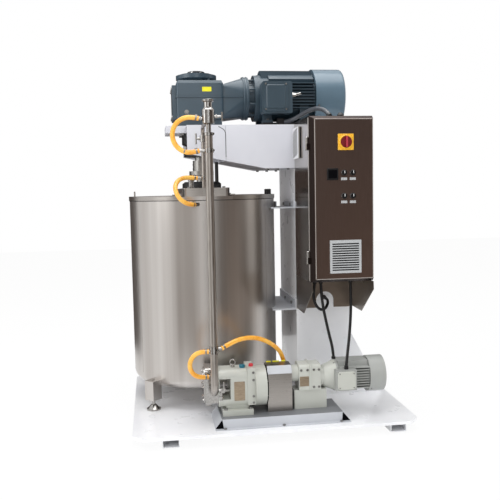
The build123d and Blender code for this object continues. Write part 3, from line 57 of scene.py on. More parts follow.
# Places of the main assemblies, from the tank's axis
riser_x = -0.016
riser_y = -0.85
pump_y = -0.675
flange_z = 0.284
reducer_z = 0.32
drive_z = 2.126
gear_top = 2.286
cap_top = 2.305
cap_x = -0.021
gear_front = -0.15
gear_left = -0.193
door_face = -0.725
cabinet_left = 0.604
hinge_heights = (1.069, 1.765)
arm_front = -0.28
arm_top = 1.922
plinth_top = 1.944
bridge_top = 1.511
plate_top = 0.075
deck_top = 0.13

# Directions
left = (-1, 0, 0)
right = (1, 0, 0)
front = (0, -1, 0)
up = (0, 0, 1)


def at(x, y, z):
    """A place counted from the tank's axis, in the frame of the parts."""
    return np.array((tank_x + x, tank_y + y, z))


# Camera: at the eye height and distance of a person in front of the machine, a little left of its middle
camera_place = at(-0.3521, -4.8011, 1.4872)
camera_turn = math.radians(8.096)
camera_dip = math.radians(4.945)
camera_roll = math.radians(1.122)
camera_lens = 49.28
camera_sensor = 36.0
camera_reach = 60


def add_camera():
    """The camera looks along +Y, turned right, dipped and rolled by the angles above."""
    forward = Vector((
        math.sin(camera_turn) * math.cos(camera_dip),
        math.cos(camera_turn) * math.cos(camera_dip),
        -math.sin(camera_dip),
    ))
    level = Vector((math.cos(camera_turn), -math.sin(camera_turn), 0))
    down = -level.cross(forward)
    side = math.cos(camera_roll) * level + math.sin(camera_roll) * down
    below = math.cos(camera_roll) * down - math.sin(camera_roll) * level
    data = bpy.data.cameras.new("camera")
    data.lens = camera_lens
    data.sensor_width = camera_sensor
    data.clip_end = camera_reach
    camera = bpy.data.objects.new("camera", data)
    turn = Matrix((side, -below, -forward)).transposed()
    camera.matrix_world = Matrix.Translation(Vector(camera_place)) @ turn.to_4x4()
    bpy.context.scene.collection.objects.link(camera)
    bpy.context.scene.camera = camera


# Mesh helpers
weld_distance = 1e-5
speck_distance = 1e-6
smooth_below = math.radians(32)
corner_steps = 6


def grid(points, wrap_u=False, wrap_v=False):
    """Quads of an (m, n, 3) array of surface points. A wrapped direction joins its last row to its first."""
    rows, columns = points.shape[:2]
    index = np.arange(rows * columns).reshape(rows, columns)
    if wrap_u:
        index = np.vstack((index, index[:1]))
    if wrap_v:
        index = np.hstack((index, index[:, :1]))
    corners = (index[:-1, :-1], index[1:, :-1], index[1:, 1:], index[:-1, 1:])
    return points.reshape(-1, 3), np.stack(corners, -1).reshape(-1, 4)


def unit(direction):
    """A direction of length one."""
    return np.asarray(direction, float) / np.linalg.norm(direction)


def across(axis):
    """An axis as a unit vector, after two unit vectors at right angles to it and to each other."""
    w = unit(axis)
    helper = np.array((0.0, 0.0, 1.0)) if abs(w[2]) < 0.9 else np.array((0.0, 1.0, 0.0))
    u = unit(np.cross(helper, w))
    return u, np.cross(w, u), w


def turned(profile, centre, axis=up, count=36):
    """Surface of revolution: centre + r (cos t u + sin t v) + h w, for (r, h) along the profile and t round it."""
    u, v, w = across(axis)
    radius, height = np.array(profile, float).T
    t = np.linspace(0, 2 * np.pi, count, endpoint=False)
    spoke = np.cos(t)[:, None] * u + np.sin(t)[:, None] * v
    points = centre + radius[:, None, None] * spoke + height[:, None, None] * w
    return grid(points, wrap_v=True)


def pin(centre, axis, radius, height, edge=0.001, count=24):
    """A round pin on its seat: a turned profile with a rounded top edge."""
    profile = ((0, 0), (radius, 0), (radius, height - edge), (radius - edge, height), (0, height))
    return turned(profile, centre, axis, count)


def bolt(centre, axis, radius, height):
    """A hexagonal head on a round washer: two turned profiles, the upper one with six sides."""
    washer_r = radius * 1.3
    seat = 0.2 * height
    edge = radius * 0.12
    washer = ((0, 0), (washer_r, 0), (washer_r, seat), (0, seat))
    head = ((0, seat), (radius, seat), (radius, height - edge), (radius - edge, height), (0, height))
    return [turned(washer, centre, axis, 20), turned(head, centre, axis, 6)]


def around(centre, radius, degrees, axis=up):
    """Places on a circle round an upright axis or round X, each with the way out from the axis there."""
    spokes = [(math.cos(turn), math.sin(turn)) for turn in np.radians(degrees)]
    ways = [(c, s, 0) if axis == up else (0, c, s) for c, s in spokes]
    return [(centre + radius * np.array(way), way) for way in ways]


def ring(centre, axis, ring_r, wire_r, count=32, sides=12):
    """Torus: centre + (R + r cos s)(cos t u + sin t v) + r sin s w."""
    u, v, w = across(axis)
    t = np.linspace(0, 2 * np.pi, count, endpoint=False)
    s = np.linspace(0, 2 * np.pi, sides, endpoint=False)
    spoke = np.cos(t)[:, None] * u + np.sin(t)[:, None] * v
    reach = ring_r + wire_r * np.cos(s)
    points = centre + reach[:, None, None] * spoke + (wire_r * np.sin(s))[:, None, None] * w
    return grid(points, wrap_u=True, wrap_v=True)


def outline(width, height, corner):
    """Rounded rectangle: every quarter of t is an arc round the centre of one corner."""
    steps = np.arange(4 * corner_steps)
    quarter = steps // corner_steps
    t = (steps % corner_steps) / (corner_steps - 1) * np.pi / 2 + quarter * np.pi / 2
    x = np.array((1, -1, -1, 1))[quarter] * (width / 2 - corner) + corner * np.cos(t)
    y = np.array((1, 1, -1, -1))[quarter] * (height / 2 - corner) + corner * np.sin(t)
    return np.stack((x, y), -1)


def plate(centre, normal, width, height, depth, corner=0.004, bevel=0.001, rise=up):
    """Rounded plate: its outline at the back, again below the bevel, and drawn in by the bevel at the front."""
    w = unit(normal)
    u = unit(np.cross(np.asarray(rise, float), w))
    v = np.cross(w, u)
    rim = outline(width, height, corner)
    inner = outline(width - 2 * bevel, height - 2 * bevel, max(corner - bevel, bevel / 2))
    rows = ((0 * rim, 0), (rim, 0), (rim, depth - bevel), (inner, depth), (0 * rim, depth))
    points = np.array([centre + row[:, :1] * u + row[:, 1:] * v + lift * w for row, lift in rows])
    return grid(points, wrap_v=True)


def tube(path, radius, sides=14):
    """Pipe along a path: each point's circle is square to the path's direction there."""
    path = np.asarray(path, float)
    along = np.gradient(path, axis=0)
    along /= np.linalg.norm(along, axis=1)[:, None]
    u = np.cross(np.array(up, float), along)
    u /= np.linalg.norm(u, axis=1)[:, None]
    v = np.cross(along, u)
    t = np.linspace(0, 2 * np.pi, sides, endpoint=False)
    reach = np.concatenate(((0.0,), np.full(len(path), radius), (0.0,)))
    rows = np.concatenate(((0,), np.arange(len(path)), (len(path) - 1,)))
    circle = np.cos(t)[None, :, None] * u[rows][:, None] + np.sin(t)[None, :, None] * v[rows][:, None]
    return grid(path[rows][:, None] + reach[:, None, None] * circle, wrap_v=True)


def strip(path, width, lift, thick):
    """Flat strip on a front face: each path point carries a rectangle, width across and thick towards the front."""
    path = np.asarray(path, float)
    along = np.gradient(path, axis=0)
    along /= np.linalg.norm(along, axis=1)[:, None]
    forward = np.array(front, float)
    side = np.cross(along, forward)
    section = ((0, 0), (-0.5, 0), (-0.5, 1), (0.5, 1), (0.5, 0), (0, 0))
    rows = [path + share * width * side + forward * (lift + level * thick) for share, level in section]
    return grid(np.array(rows))


def mesh_of(name, shells):
    """A mesh from the points and the quads of several shells."""
    points, faces, count = [], [], 0
    for shell_points, shell_faces in shells:
        points.append(shell_points)
        faces.append(shell_faces + count)
        count += len(shell_points)
    mesh = bpy.data.meshes.new(name)
    mesh.from_pydata(np.vstack(points).tolist(), [], np.vstack(faces).tolist())
    return mesh


def placed(name, data):
    """An object at the origin with this mesh or curve, in the scene."""
    made = bpy.data.objects.new(name, data)
    bpy.context.scene.collection.objects.link(made)
    return made


def piece(name, shells, finish, body="machine"):
    """One object of several shells, with its doubles merged and its faces turned outwards."""
    mesh = mesh_of(name, shells)
    work = bmesh.new()
    work.from_mesh(mesh)
    bmesh.ops.remove_doubles(work, verts=work.verts, dist=weld_distance)
    bmesh.ops.dissolve_degenerate(work, edges=work.edges, dist=speck_distance)
    bmesh.ops.recalc_face_normals(work, faces=work.faces)
    for face in work.faces:
        face.smooth = True
    for edge in work.edges:
        edge.smooth = len(edge.link_faces) == 2 and edge.calc_face_angle() < smooth_below
    work.to_mesh(mesh)
    work.free()
    mesh.materials.append(finish)
    made = placed(name, mesh)
    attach(made, body)


# Material helpers
def linear(colour):
    """An sRGB hex colour as the linear colour that a shader takes."""
    channels = [int(colour[place:place + 2], 16) / 255 for place in (1, 3, 5)]
    return (*[c / 12.92 if c <= 0.04045 else ((c + 0.055) / 1.055) ** 2.4 for c in channels], 1.0)


def add(tree, kind, sockets=None, **settings):
    """Add a shader node with its settings. A socket takes a value, or another node's output."""
    made = tree.nodes.new("ShaderNode" + kind)
    for name, value in settings.items():
        setattr(made, name, value)
    for name, value in (sockets or {}).items():
        if isinstance(value, bpy.types.NodeSocket):
            tree.links.new(value, made.inputs[name])
        else:
            made.inputs[name].default_value = value
    return made


def blank(name):
    """An empty material and its node tree."""
    material = bpy.data.materials.new(name)
    material.use_nodes = True
    material.node_tree.nodes.clear()
    return material, material.node_tree


def end(tree, shader):
    """Link a shader to the material's output."""
    tree.links.new(shader.outputs[0], add(tree, "OutputMaterial").inputs[0])


def noise(tree, place, scale, detail):
    """Noise at a place, after a scale on each axis."""
    sized = add(tree, "Mapping", {"Vector": place, "Scale": scale}).outputs["Vector"]
    return add(tree, "TexNoise", {"Vector": sized, "Scale": 1.0, "Detail": detail}).outputs["Fac"]


def mottle(tree, per_metre, detail=3.0):
    """Noise in the object's own coordinates, with this many patches per metre, or so many along each axis."""
    spot = add(tree, "TexCoord").outputs["Object"]
    return noise(tree, spot, tuple(np.broadcast_to(np.array(per_metre, float), 3)), detail)


def tone(tree, pattern, *stops):
    """A colour that goes from the first stop to the second as the pattern rises."""
    ramp = add(tree, "ValToRGB", {"Fac": pattern})
    for element, (level, colour) in zip(ramp.color_ramp.elements, stops):
        element.position = level
        element.color = linear(colour)
    return ramp.outputs["Color"]


def gloss(tree, pattern, low, high):
    """A roughness that goes from low to high as the pattern goes from 0.3 to 0.7."""
    limits = {"Value": pattern, "From Min": 0.3, "From Max": 0.7, "To Min": low, "To Max": high}
    return add(tree, "MapRange", limits).outputs["Result"]


def bump(tree, pattern, strength, distance):
    """A normal that is tilted as if the pattern were raised by distance."""
    return add(tree, "Bump", {"Height": pattern, "Strength": strength, "Distance": distance}).outputs["Normal"]


def enamel(name, light, shade, rough, coat, peel=6):
    """Sprayed enamel: its tone and gloss drift slowly, and its peel of peel mm is drawn coarser than it is."""
    material, tree = blank(name)
    end(tree, add(tree, "BsdfPrincipled", {
        "Base Color": tone(tree, mottle(tree, 3), (0.35, shade), (0.65, light)),
        "Roughness": gloss(tree, mottle(tree, 9), rough - 0.04, rough + 0.05),
        "Normal": bump(tree, mottle(tree, 1000 / peel), 0.004, 0.001),
        "Coat Weight": coat,
        "Coat Roughness": 0.08,
    }))
    return material


def steel(name, light, shade, rough, grain, scratch=0.0006, painted_edge_light=None):
    """Ground steel: streaks, grain of them per metre on each axis, change its tone and its gloss and scratch it.

    When given, the last argument holds the two depths between which a darker colour sets in, and that colour: painted
    shade on the door's folded edges.
    """
    material, tree = blank(name)
    streak = mottle(tree, grain, 2.5)
    colour = tone(tree, streak, (0.3, shade), (0.7, light))
    # Painted shade on the door's folded edges: between the two depths the colour turns to the darker one given.
    if painted_edge_light:
        depth = add(tree, "SeparateXYZ", {"Vector": add(tree, "TexCoord").outputs["Object"]}).outputs["Y"]
        start, finish, shade_colour = painted_edge_light
        share = add(tree, "MapRange", {"Value": depth, "From Min": start, "From Max": finish}).outputs["Result"]
        colour = add(tree, "MixRGB", {"Fac": share, "Color1": colour, "Color2": linear(shade_colour)}).outputs["Color"]
    end(tree, add(tree, "BsdfPrincipled", {
        "Base Color": colour,
        "Metallic": 1.0,
        "Roughness": gloss(tree, streak, *rough),
        "Normal": bump(tree, streak, 0.06, scratch),
    }))
    return material


def tank_plate_steel():
    """Rolled and ground tank plate: streaks 100 mm wide run up the wall, and a 4 mm grind runs round it."""
    material, tree = blank("stainless_tank_plate")
    spot = add(tree, "TexCoord").outputs["Object"]
    centred = add(tree, "Mapping", {"Vector": spot, "Location": (-tank_x, -tank_y, 0)}).outputs["Vector"]
    parts = add(tree, "SeparateXYZ", {"Vector": centred}).outputs
    angle = add(tree, "Math", {0: parts["Y"], 1: parts["X"]}, operation="ARCTAN2").outputs[0]
    wall = add(tree, "CombineXYZ", {"X": angle, "Y": parts["Z"]}).outputs[0]
    streak = noise(tree, wall, (5.0, 0.12, 1.0), 4.0)
    grind = noise(tree, wall, (3.0, 260.0, 1.0), 3.0)
    end(tree, add(tree, "BsdfPrincipled", {
        "Base Color": tone(tree, streak, (0.3, "#b3ada8"), (0.7, "#d3cfcb")),
        "Metallic": 1.0,
        "Roughness": gloss(tree, streak, 0.27, 0.33),
        "Normal": bump(tree, grind, 0.006, 0.0004),
    }))
    return material


def plastic(name, colour, rough, coat=0.0, sheen=0.5):
    """Moulded plastic: one colour through, gloss that drifts over 40 mm, and a spark-eroded grain, drawn at 3 mm."""
    material, tree = blank(name)
    end(tree, add(tree, "BsdfPrincipled", {
        "Base Color": linear(colour),
        "Roughness": gloss(tree, mottle(tree, 25), rough - 0.04, rough + 0.06),
        "Normal": bump(tree, mottle(tree, 1000 / 3), 0.08, 0.0005),
        "Coat Weight": coat,
        "Specular IOR Level": sheen,
    }))
    return material


def silicone_hose():
    """Amber silicone: lets a little light in, is glossy, and is paler in patches of 71 mm where it is stretched."""
    material, tree = blank("amber_silicone_hose")
    end(tree, add(tree, "BsdfPrincipled", {
        "Base Color": tone(tree, mottle(tree, 14), (0.35, "#f3a62f"), (0.65, "#ffc458")),
        "Roughness": gloss(tree, mottle(tree, 40), 0.24, 0.34),
        "Subsurface Weight": 0.12,
        "Subsurface Radius": (0.006, 0.004, 0.001),
        "Coat Weight": 0.3,
    }))
    return material


# Enamels: light tone, shade, roughness, clear coat and the width of the peel in millimetres. Gloss ones mirror the
# room softly, satin ones only spread a highlight, and the drive's and the pump's castings have a coarser peel.
base_enamel = enamel("white_gloss_enamel", "#f8f9fb", "#f0f1f5", 0.3, 0.35)
arm_enamel = enamel("pale_grey_satin_enamel", "#d8d9e0", "#cfd0d8", 0.42, 0.1)
drive_enamel = enamel("slate_blue_enamel", "#3a4c58", "#33444f", 0.36, 0.15, 12)
cover_enamel = enamel("slate_blue_sheet_enamel", "#587080", "#4f6675", 0.32, 0.3)
pump_enamel = enamel("grey_green_casting_enamel", "#c5c7c0", "#babcb4", 0.4, 0.15, 14)
fin_enamel = enamel("grey_casting_enamel", "#a9aba8", "#999b98", 0.45, 0.1)
# The sub-frame's and the stays' enamel; also the pale plate on the guard's folded edge, a painted highlight.
grey_enamel_and_painted_highlight = enamel("light_grey_enamel_and_painted_highlight", "#c6c9cf", "#bec1c7", 0.35, 0.2)
deck_enamel = enamel("mid_grey_deck_enamel", "#7e8084", "#747679", 0.4, 0.1)
louvre_enamel = enamel("white_louvre_enamel", "#ececf0", "#e4e4e8", 0.35, 0.2)
# Black castings and the gear cap; also the black sheets round the motor's plinth, which are painted shade.
black_enamel_and_painted_shade = enamel("black_casting_enamel_and_painted_shade", "#1c1c1f", "#121214", 0.5, 0.05)
# A painted highlight: the thin bright lines round the door's face and down the cabinet's rim.
edge_painted_highlight = enamel("bright_edge_painted_highlight", "#b0aaa5", "#948e89", 0.4, 0.1)

# Steels: light tone, shade, roughness from and to, streaks per metre on each axis and depth of the scratches. Ground
# sheet smears the room along its grain, polished fittings mirror it, and the tinted door is nearly brown, with painted
# shade darkening its folded edges. An upright brush leaves many streaks across it and few along, and turning a shaft
# many along it.
brushed = (320, 320, 8)
# Painted shade for the door's folded edges: the depths behind its face where it sets in, and its colour.
door_edge_painted_shade = (tank_y + door_face + 0.0005, tank_y + door_face + 0.002, "#3a3230")
tank_steel = tank_plate_steel()
sheet_steel = steel("ground_stainless_sheet", "#b3aea9", "#a9a49f", (0.27, 0.34), (10.2, 10.2, 408), 0.00005)
pipe_steel = steel("drawn_stainless_tube", "#b9b3ad", "#a29c95", (0.3, 0.37), (120, 120, 9.6))
polished_steel = steel("polished_stainless_fitting", "#b4b2af", "#9b9895", (0.13, 0.2), 90)
body_steel = steel("ground_stainless_cabinet", "#c4c0bc", "#b5b1ad", (0.13, 0.2), brushed, 0.0002)
door_steel = steel("tinted_stainless_door_and_painted_edge_shade", "#93817a", "#8b7a73", (0.28, 0.34), brushed, 0.0002, door_edge_painted_shade)
console_steel = steel("stainless_console_sheet", "#a59d95", "#989088", (0.27, 0.34), (8, 8, 16), 0.00002)
shaft_steel = steel("turned_steel_shaft", "#aaa8a4", "#8f8d89", (0.29, 0.36), (12, 12, 360))
bolt_steel = steel("zinc_plated_bolt", "#9b9a98", "#7d7c7a", (0.31, 0.38), 120)
plate_brass = steel("blank_etched_plate", "#b6a58f", "#a08f7b", (0.37, 0.44), (40, 40, 240))

# Plastics and rubber: colour, roughness and clear coat. The matt black, which is the controller's window and also the
# painted shade in slots, gaps and notches, has no gloss, so a slot stays dark edge on.
amber_hose = silicone_hose()
black_sheath = plastic("black_cable_sheath", "#141416", 0.5)
grey_conduit = plastic("grey_conduit_sheath", "#4b4e54", 0.34, 0.4)
black_plastic = plastic("black_moulded_plastic", "#141417", 0.38, 0.15)
yellow_plastic = plastic("yellow_moulded_plastic", "#f2b829", 0.36, 0.2)
red_plastic = plastic("dark_red_moulded_plastic", "#780d18", 0.34, 0.3)
grip_red = plastic("lighter_red_grip", "#b23242", 0.36, 0.2)
white_plastic = plastic("white_moulded_plastic", "#eceded", 0.42, 0.1)
grille_plastic = plastic("pale_grey_grille_plastic", "#b4b6b8", 0.45)
tag_yellow = plastic("plain_yellow_tag", "#e8e01c", 0.5)
teal_cap = plastic("teal_filler_cap", "#0f6f86", 0.35, 0.2)
red_cap = plastic("red_breather_cap", "#d6303f", 0.35, 0.2)
# The head cover's dark seam; also the black ring under the lids' edge, which is painted shade.
seam_black_and_painted_shade = plastic("black_seam_and_painted_shade", "#1b1b1d", 0.7)
black_window_and_painted_shade = plastic("matt_black_window_and_painted_shade", "#0d0d0f", 0.7, sheen=0.0)

finishes = {
    base_enamel: ("base_frame", "column"),
    arm_enamel: ("arm_beam", "arm_head_cover", "gear_mount_plate"),
    drive_enamel: ("gear_housing", "input_adapter", "motor_frame", "motor_terminal_box"),
    cover_enamel: ("motor_fan_cover",),
    pump_enamel: ("pump_gearcase", "reducer_housing"),
    fin_enamel: ("pump_motor",),
    grey_enamel_and_painted_highlight: ("pump_subframe", "tank_stays"),
    black_enamel_and_painted_shade: ("bearing_housing", "seal_housing"),
    tank_steel: ("tank_jacket", "tank_inner_vessel"),
    sheet_steel: ("lid_bridge", "lid_left", "lid_right", "coupling_guard"),
    pipe_steel: ("riser_pipe", "tank_outlet", "return_pipe"),
    polished_steel: (
        "riser_head", "pipe_fittings", "outlet_valve_lever", "return_valve_lever",
        "drain_valve_lever", "levelling_feet", "pump_head",
    ),
    body_steel: ("cabinet_body",),
    door_steel: ("cabinet_door",),
    console_steel: ("cabinet_console",),
    shaft_steel: (
        "output_shaft", "motor_rotor", "agitator", "shaft_coupling", "rotor_upper", "rotor_lower",
        "drive_coupling", "pump_motor_rotor",
    ),
    bolt_steel: ("fasteners",),
    grille_plastic: ("door_fittings",),
    red_plastic: ("main_switch_knob",),
    black_plastic: ("selector_1", "selector_2", "selector_3", "selector_4", "cable_glands"),
}
for finish, named in finishes.items():
    for name in named:
        nodes[name].data.materials.clear()
        nodes[name].data.materials.append(finish)


# Hoses and cables: finish, diameter, length, stiffness and the points of each route from its exit
hose_bore = 0.028
cable_bore = 0.018
cords = {
    "hose_riser_top": (amber_hose, hose_bore, 0.419, "medium", (
        (-0.071, -0.850, 1.903), (-0.122, -0.850, 1.914), (-0.174, -0.850, 1.900), (-0.212, -0.850, 1.863),
        (-0.226, -0.850, 1.811), (-0.212, -0.850, 1.759), (-0.174, -0.850, 1.721), (-0.122, -0.850, 1.709),
        (-0.071, -0.850, 1.721),
    )),
    "hose_tank_top": (amber_hose, hose_bore, 0.467, "medium", (
        (-0.058, -0.412, 1.574), (-0.098, -0.420, 1.578), (-0.145, -0.456, 1.577), (-0.182, -0.508, 1.562),
        (-0.205, -0.562, 1.530), (-0.204, -0.600, 1.487), (-0.181, -0.610, 1.445), (-0.144, -0.592, 1.419),
        (-0.110, -0.560, 1.410), (-0.088, -0.528, 1.408),
    )),
    "hose_pump_head": (amber_hose, hose_bore, 0.328, "medium", (
        (-0.046, -0.850, 0.551), (-0.096, -0.848, 0.552), (-0.136, -0.842, 0.529), (-0.158, -0.833, 0.490),
        (-0.158, -0.821, 0.444), (-0.136, -0.808, 0.405), (-0.096, -0.796, 0.383), (-0.046, -0.790, 0.383),
    )),
    "hose_tank_bottom": (amber_hose, hose_bore, 0.604, "medium", (
        (0.030, -0.850, 0.566), (0.078, -0.836, 0.588), (0.150, -0.800, 0.607), (0.238, -0.744, 0.600),
        (0.324, -0.682, 0.562), (0.398, -0.628, 0.503), (0.440, -0.590, 0.447), (0.455, -0.577, 0.386),
    )),
    "cable_pump_motor": (black_sheath, cable_bore, 0.541, "medium", (
        (0.888, -0.602, 0.893), (0.889, -0.606, 0.826), (0.882, -0.630, 0.730), (0.866, -0.668, 0.640),
        (0.842, -0.716, 0.540), (0.814, -0.772, 0.460), (0.801, -0.797, 0.405),
    )),
    "cable_sensor": (black_sheath, cable_bore, 0.472, "medium", (
        (0.695, -0.600, 0.893), (0.698, -0.598, 0.826), (0.708, -0.600, 0.740), (0.727, -0.608, 0.640),
        (0.744, -0.622, 0.550), (0.756, -0.642, 0.490), (0.758, -0.655, 0.432),
    )),
    "cable_column": (black_sheath, cable_bore, 0.503, "medium", (
        (0.655, -0.600, 0.893), (0.646, -0.600, 0.838), (0.650, -0.598, 0.775), (0.686, -0.588, 0.722),
        (0.734, -0.550, 0.718), (0.766, -0.492, 0.740), (0.784, -0.430, 0.752), (0.792, -0.366, 0.755),
        (0.794, -0.300, 0.755),
    )),
    "conduit": (grey_conduit, hose_bore, 0.500, "stiff", (
        (0.545, -0.212, 1.944), (0.592, -0.226, 1.952), (0.642, -0.278, 1.977), (0.684, -0.356, 2.002),
        (0.716, -0.440, 2.008), (0.740, -0.520, 1.992), (0.752, -0.579, 1.968), (0.756, -0.604, 1.949),
    )),
}


def add_cord(name, finish, diameter, length, stiffness, route):
    """A smooth round cord along its route's control points."""
    curve = bpy.data.curves.new(name, "CURVE")
    curve.dimensions = "3D"
    curve.bevel_depth = diameter / 2
    curve.bevel_resolution = 6
    curve.resolution_u = 10
    curve.use_fill_caps = True
    spline = curve.splines.new("NURBS")
    spline.points.add(len(route) - 1)
    for point, spot in zip(spline.points, route):
        point.co = (*at(*spot), 1.0)
    spline.order_u = 3
    spline.use_endpoint_u = True
    curve.materials.append(finish)
    made = placed(name + "_run", curve)
    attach(made, "machine")
    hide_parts(name)


def band(spot, towards, width=0.01):
    """A worm clamp: a thin turned band round a hose, 12 mm along it, with a small screw housing on top."""
    radius = hose_bore / 2
    outer = radius + 0.0012
    edge = 0.0004
    start = at(*spot)
    axis = unit(at(*towards) - start)
    profile = ((radius, 0), (outer, edge), (outer, width - edge), (radius, width), (radius, 0))
    middle = start + axis * 0.012
    u, v, w = across(axis)
    housing_place = middle + w * width / 2 + v * radius
    housing = plate(housing_place, v, width * 0.9, 0.016, 0.006, 0.002, 0.0008, rise=w)
    return [turned(profile, middle, axis, 40), housing]


def hose_clamps():
    """A clamp at both ends of each amber hose, and a narrow one on the top hose's lower bend."""
    shells = []
    for finish, _, _, _, route in cords.values():
        if finish is amber_hose:
            shells += band(route[0], route[1])
            shells += band(route[-1], route[-2])
    bend = cords["hose_riser_top"][4]
    before, point, after = (np.array(spot) for spot in bend[5:8])
    shells += band((before + 6 * point + after) / 8, bend[7], 0.008)
    piece("hose_clamps", shells, bolt_steel)


# Geared motor
def gear_unit_details():
    """Cap with its bolts, side cover bolts, a blank tag, an oil plug and the flange's two turned beads."""
    bolts = []
    for seat, _ in around(at(cap_x, 0, gear_top), 0.088, np.arange(15, 375, 45)):
        bolts += bolt(seat, up, 0.007, 0.007)
    for bolt_y in (-0.1, 0.0, 0.1):
        for bolt_z in (1.992, 2.182):
            bolts += bolt(at(gear_left, bolt_y, bolt_z), left, 0.009, 0.007)
    piece("gear_unit_bolts", bolts, bolt_steel)
    cap_r = 0.0555
    cap = ((0, 0), (cap_r, 0), (cap_r, 0.0012), (cap_r - 0.0015, 0.002), (0, 0.002))
    sleeve_r = 0.0592
    inner_r = sleeve_r - 0.001
    sleeve = ((inner_r, 0.004), (sleeve_r, 0.005), (sleeve_r, 0.017), (inner_r, 0.018), (inner_r, 0.004))
    shells = [turned(cap, at(cap_x, 0, cap_top)), turned(sleeve, at(cap_x, 0, gear_top), count=48)]
    piece("gear_cap", shells, black_enamel_and_painted_shade)
    studs = []
    for seat, out in around(at(cap_x, 0, gear_top + 0.011), sleeve_r, np.arange(0, 360, 60)):
        studs += bolt(seat, out, 0.005, 0.005)
    piece("gear_cap_studs", studs, polished_steel)
    tag = plate(at(0.0385, gear_front, 2.171), front, 0.062, 0.03, 0.0012, 0.002, 0.0004)
    piece("blank_tag", [tag], tag_yellow)
    plug = bolt(at(-0.1, gear_front, 2.02), front, 0.012, 0.01)
    piece("oil_plug", plug, bolt_steel)
    flange_r = 0.1452
    bead_r = flange_r + 0.0028
    bead = ((flange_r, 0), (bead_r, 0.003), (bead_r, 0.008), (flange_r, 0.011), (flange_r, 0))
    rings = [turned(bead, at(x, 0, drive_z), right, 64) for x in (0.293, 0.315)]
    piece("adapter_beads", rings, drive_enamel)


def main_motor_details():
    """Terminal box lid and its screws, fan cover screws, black sheets round the plinth as painted shade, and a gland
    with a short tail.
    """
    lid_place = at(0.483, -0.292, 2.103)
    lid = plate(lid_place, front, 0.13, 0.158, 0.006, 0.014, 0.0055)
    piece("terminal_box_lid", [lid], drive_enamel)
    screws = [
        pin(lid_place + np.array((x, 0, z)), front, 0.006, 0.004)
        for x in (-0.068, 0.068) for z in (-0.082, 0.082)
    ]
    for seat, out in around(at(0.8, 0, drive_z), 0.2, (200, 250, 290, 340), right):
        screws += bolt(seat, out, 0.005, 0.004)
    piece("main_motor_screws", screws, bolt_steel)
    plinth_left, plinth_right, plinth_half = 0.408, 0.779, 0.186
    plinth_z = (arm_top + plinth_top) / 2
    # Black sheets round the plinth under the motor: painted shade.
    shade_sheet = (plinth_top - arm_top - 0.0005, 0.0008, 0.001, 0.0002)
    shells = [plate(at(plinth_left, 0, plinth_z), left, 0.374, *shade_sheet)]
    shells += [plate(at(plinth_right, 0, plinth_z), right, 0.374, *shade_sheet)]
    for side in (-1, 1):
        middle = at((plinth_left + plinth_right) / 2, side * plinth_half, plinth_z)
        shells.append(plate(middle, (0, side, 0), 0.373, *shade_sheet))
    piece("motor_plinth_painted_shade", shells, black_enamel_and_painted_shade)
    nut = ((0, 0), (0.018, 0), (0.018, 0.012), (0.014, 0.014), (0.014, 0.03), (0, 0.03))
    gland = turned(nut, at(0.595, -0.24, 2.12), right, 6)
    stub = tube([at(0.62, -0.24, 2.12), at(0.64, -0.242, 2.124), at(0.66, -0.245, 2.13)], 0.009)
    piece("terminal_gland", [gland, stub], polished_steel)


# Pump set
def pump_gearcase_details():
    """Eye bolt, filler and breather caps, a blank plate with its rivets, and bolts on the flange and the block."""
    case_top, block_top = 0.405, 0.413
    eye = at(0.112, pump_y, case_top)
    shells = [pin(eye, up, 0.012, 0.012), ring(eye + np.array((0, 0, 0.03)), (0.5, 1, 0), 0.017, 0.0045)]
    piece("eye_bolt", shells, polished_steel)
    filler = pin(at(0.168, pump_y - 0.02, case_top), up, 0.018, 0.018, 0.003)
    piece("filler_cap", [filler], teal_cap)
    breather = pin(at(0.221, pump_y - 0.03, block_top), up, 0.014, 0.016, 0.003)
    piece("breather_cap", [breather], red_cap)
    plate_place = at(0.1425, pump_y - 0.085, 0.275)
    name_plate = plate(plate_place, front, 0.066, 0.118, 0.0012, 0.003, 0.0004)
    piece("pump_blank_plate", [name_plate], plate_brass)
    bolts = [
        pin(plate_place + np.array((x, -0.0012, z)), front, 0.0025, 0.0012, 0.0005, 12)
        for x in (-0.028, 0.028) for z in (-0.054, 0.054)
    ]
    for seat, _ in around(at(0.31, pump_y, flange_z), 0.112, np.arange(20, 380, 45), right):
        bolts += bolt(seat, right, 0.008, 0.007)
    for bolt_z in (0.2, 0.24, 0.34, 0.386):
        bolts += bolt(at(0.228, pump_y - 0.09, bolt_z), front, 0.006, 0.005)
    piece("pump_gearcase_bolts", bolts, bolt_steel)


def pump_head_details():
    """A cover plate on the pump head's left face, with its six nuts."""
    head_left, cover_depth = -0.065, 0.008
    cover = plate(at(head_left, pump_y, 0.303), left, 0.13, 0.22, cover_depth, 0.05, 0.002)
    piece("pump_head_cover", [cover], polished_steel)
    nuts = []
    for y in (-0.045, 0.045):
        for z in (0.222, 0.302, 0.382):
            nuts += bolt(at(head_left - cover_depth, pump_y + y, z), left, 0.008, 0.008)
    piece("pump_head_nuts", nuts, polished_steel)


def reducer_details():
    """Blank plate and cover bolts on the reducer, and studs round its bell."""
    face_y = pump_y - 0.066
    blank_plate = plate(at(0.549, face_y, 0.306), front, 0.058, 0.062, 0.0012, 0.003, 0.0004)
    piece("reducer_blank_plate", [blank_plate], plate_brass)
    bolts = []
    for x, z in ((0.53, 0.376), (0.57, 0.376), (0.61, 0.376), (0.642, 0.376), (0.61, 0.268), (0.642, 0.268)):
        bolts += bolt(at(x, face_y, z), front, 0.006, 0.005)
    for seat, _ in around(at(0.752, pump_y, reducer_z), 0.088, np.arange(22.5, 382.5, 45), right):
        bolts += bolt(seat, left, 0.007, 0.012)
    piece("reducer_bolts", bolts, bolt_steel)


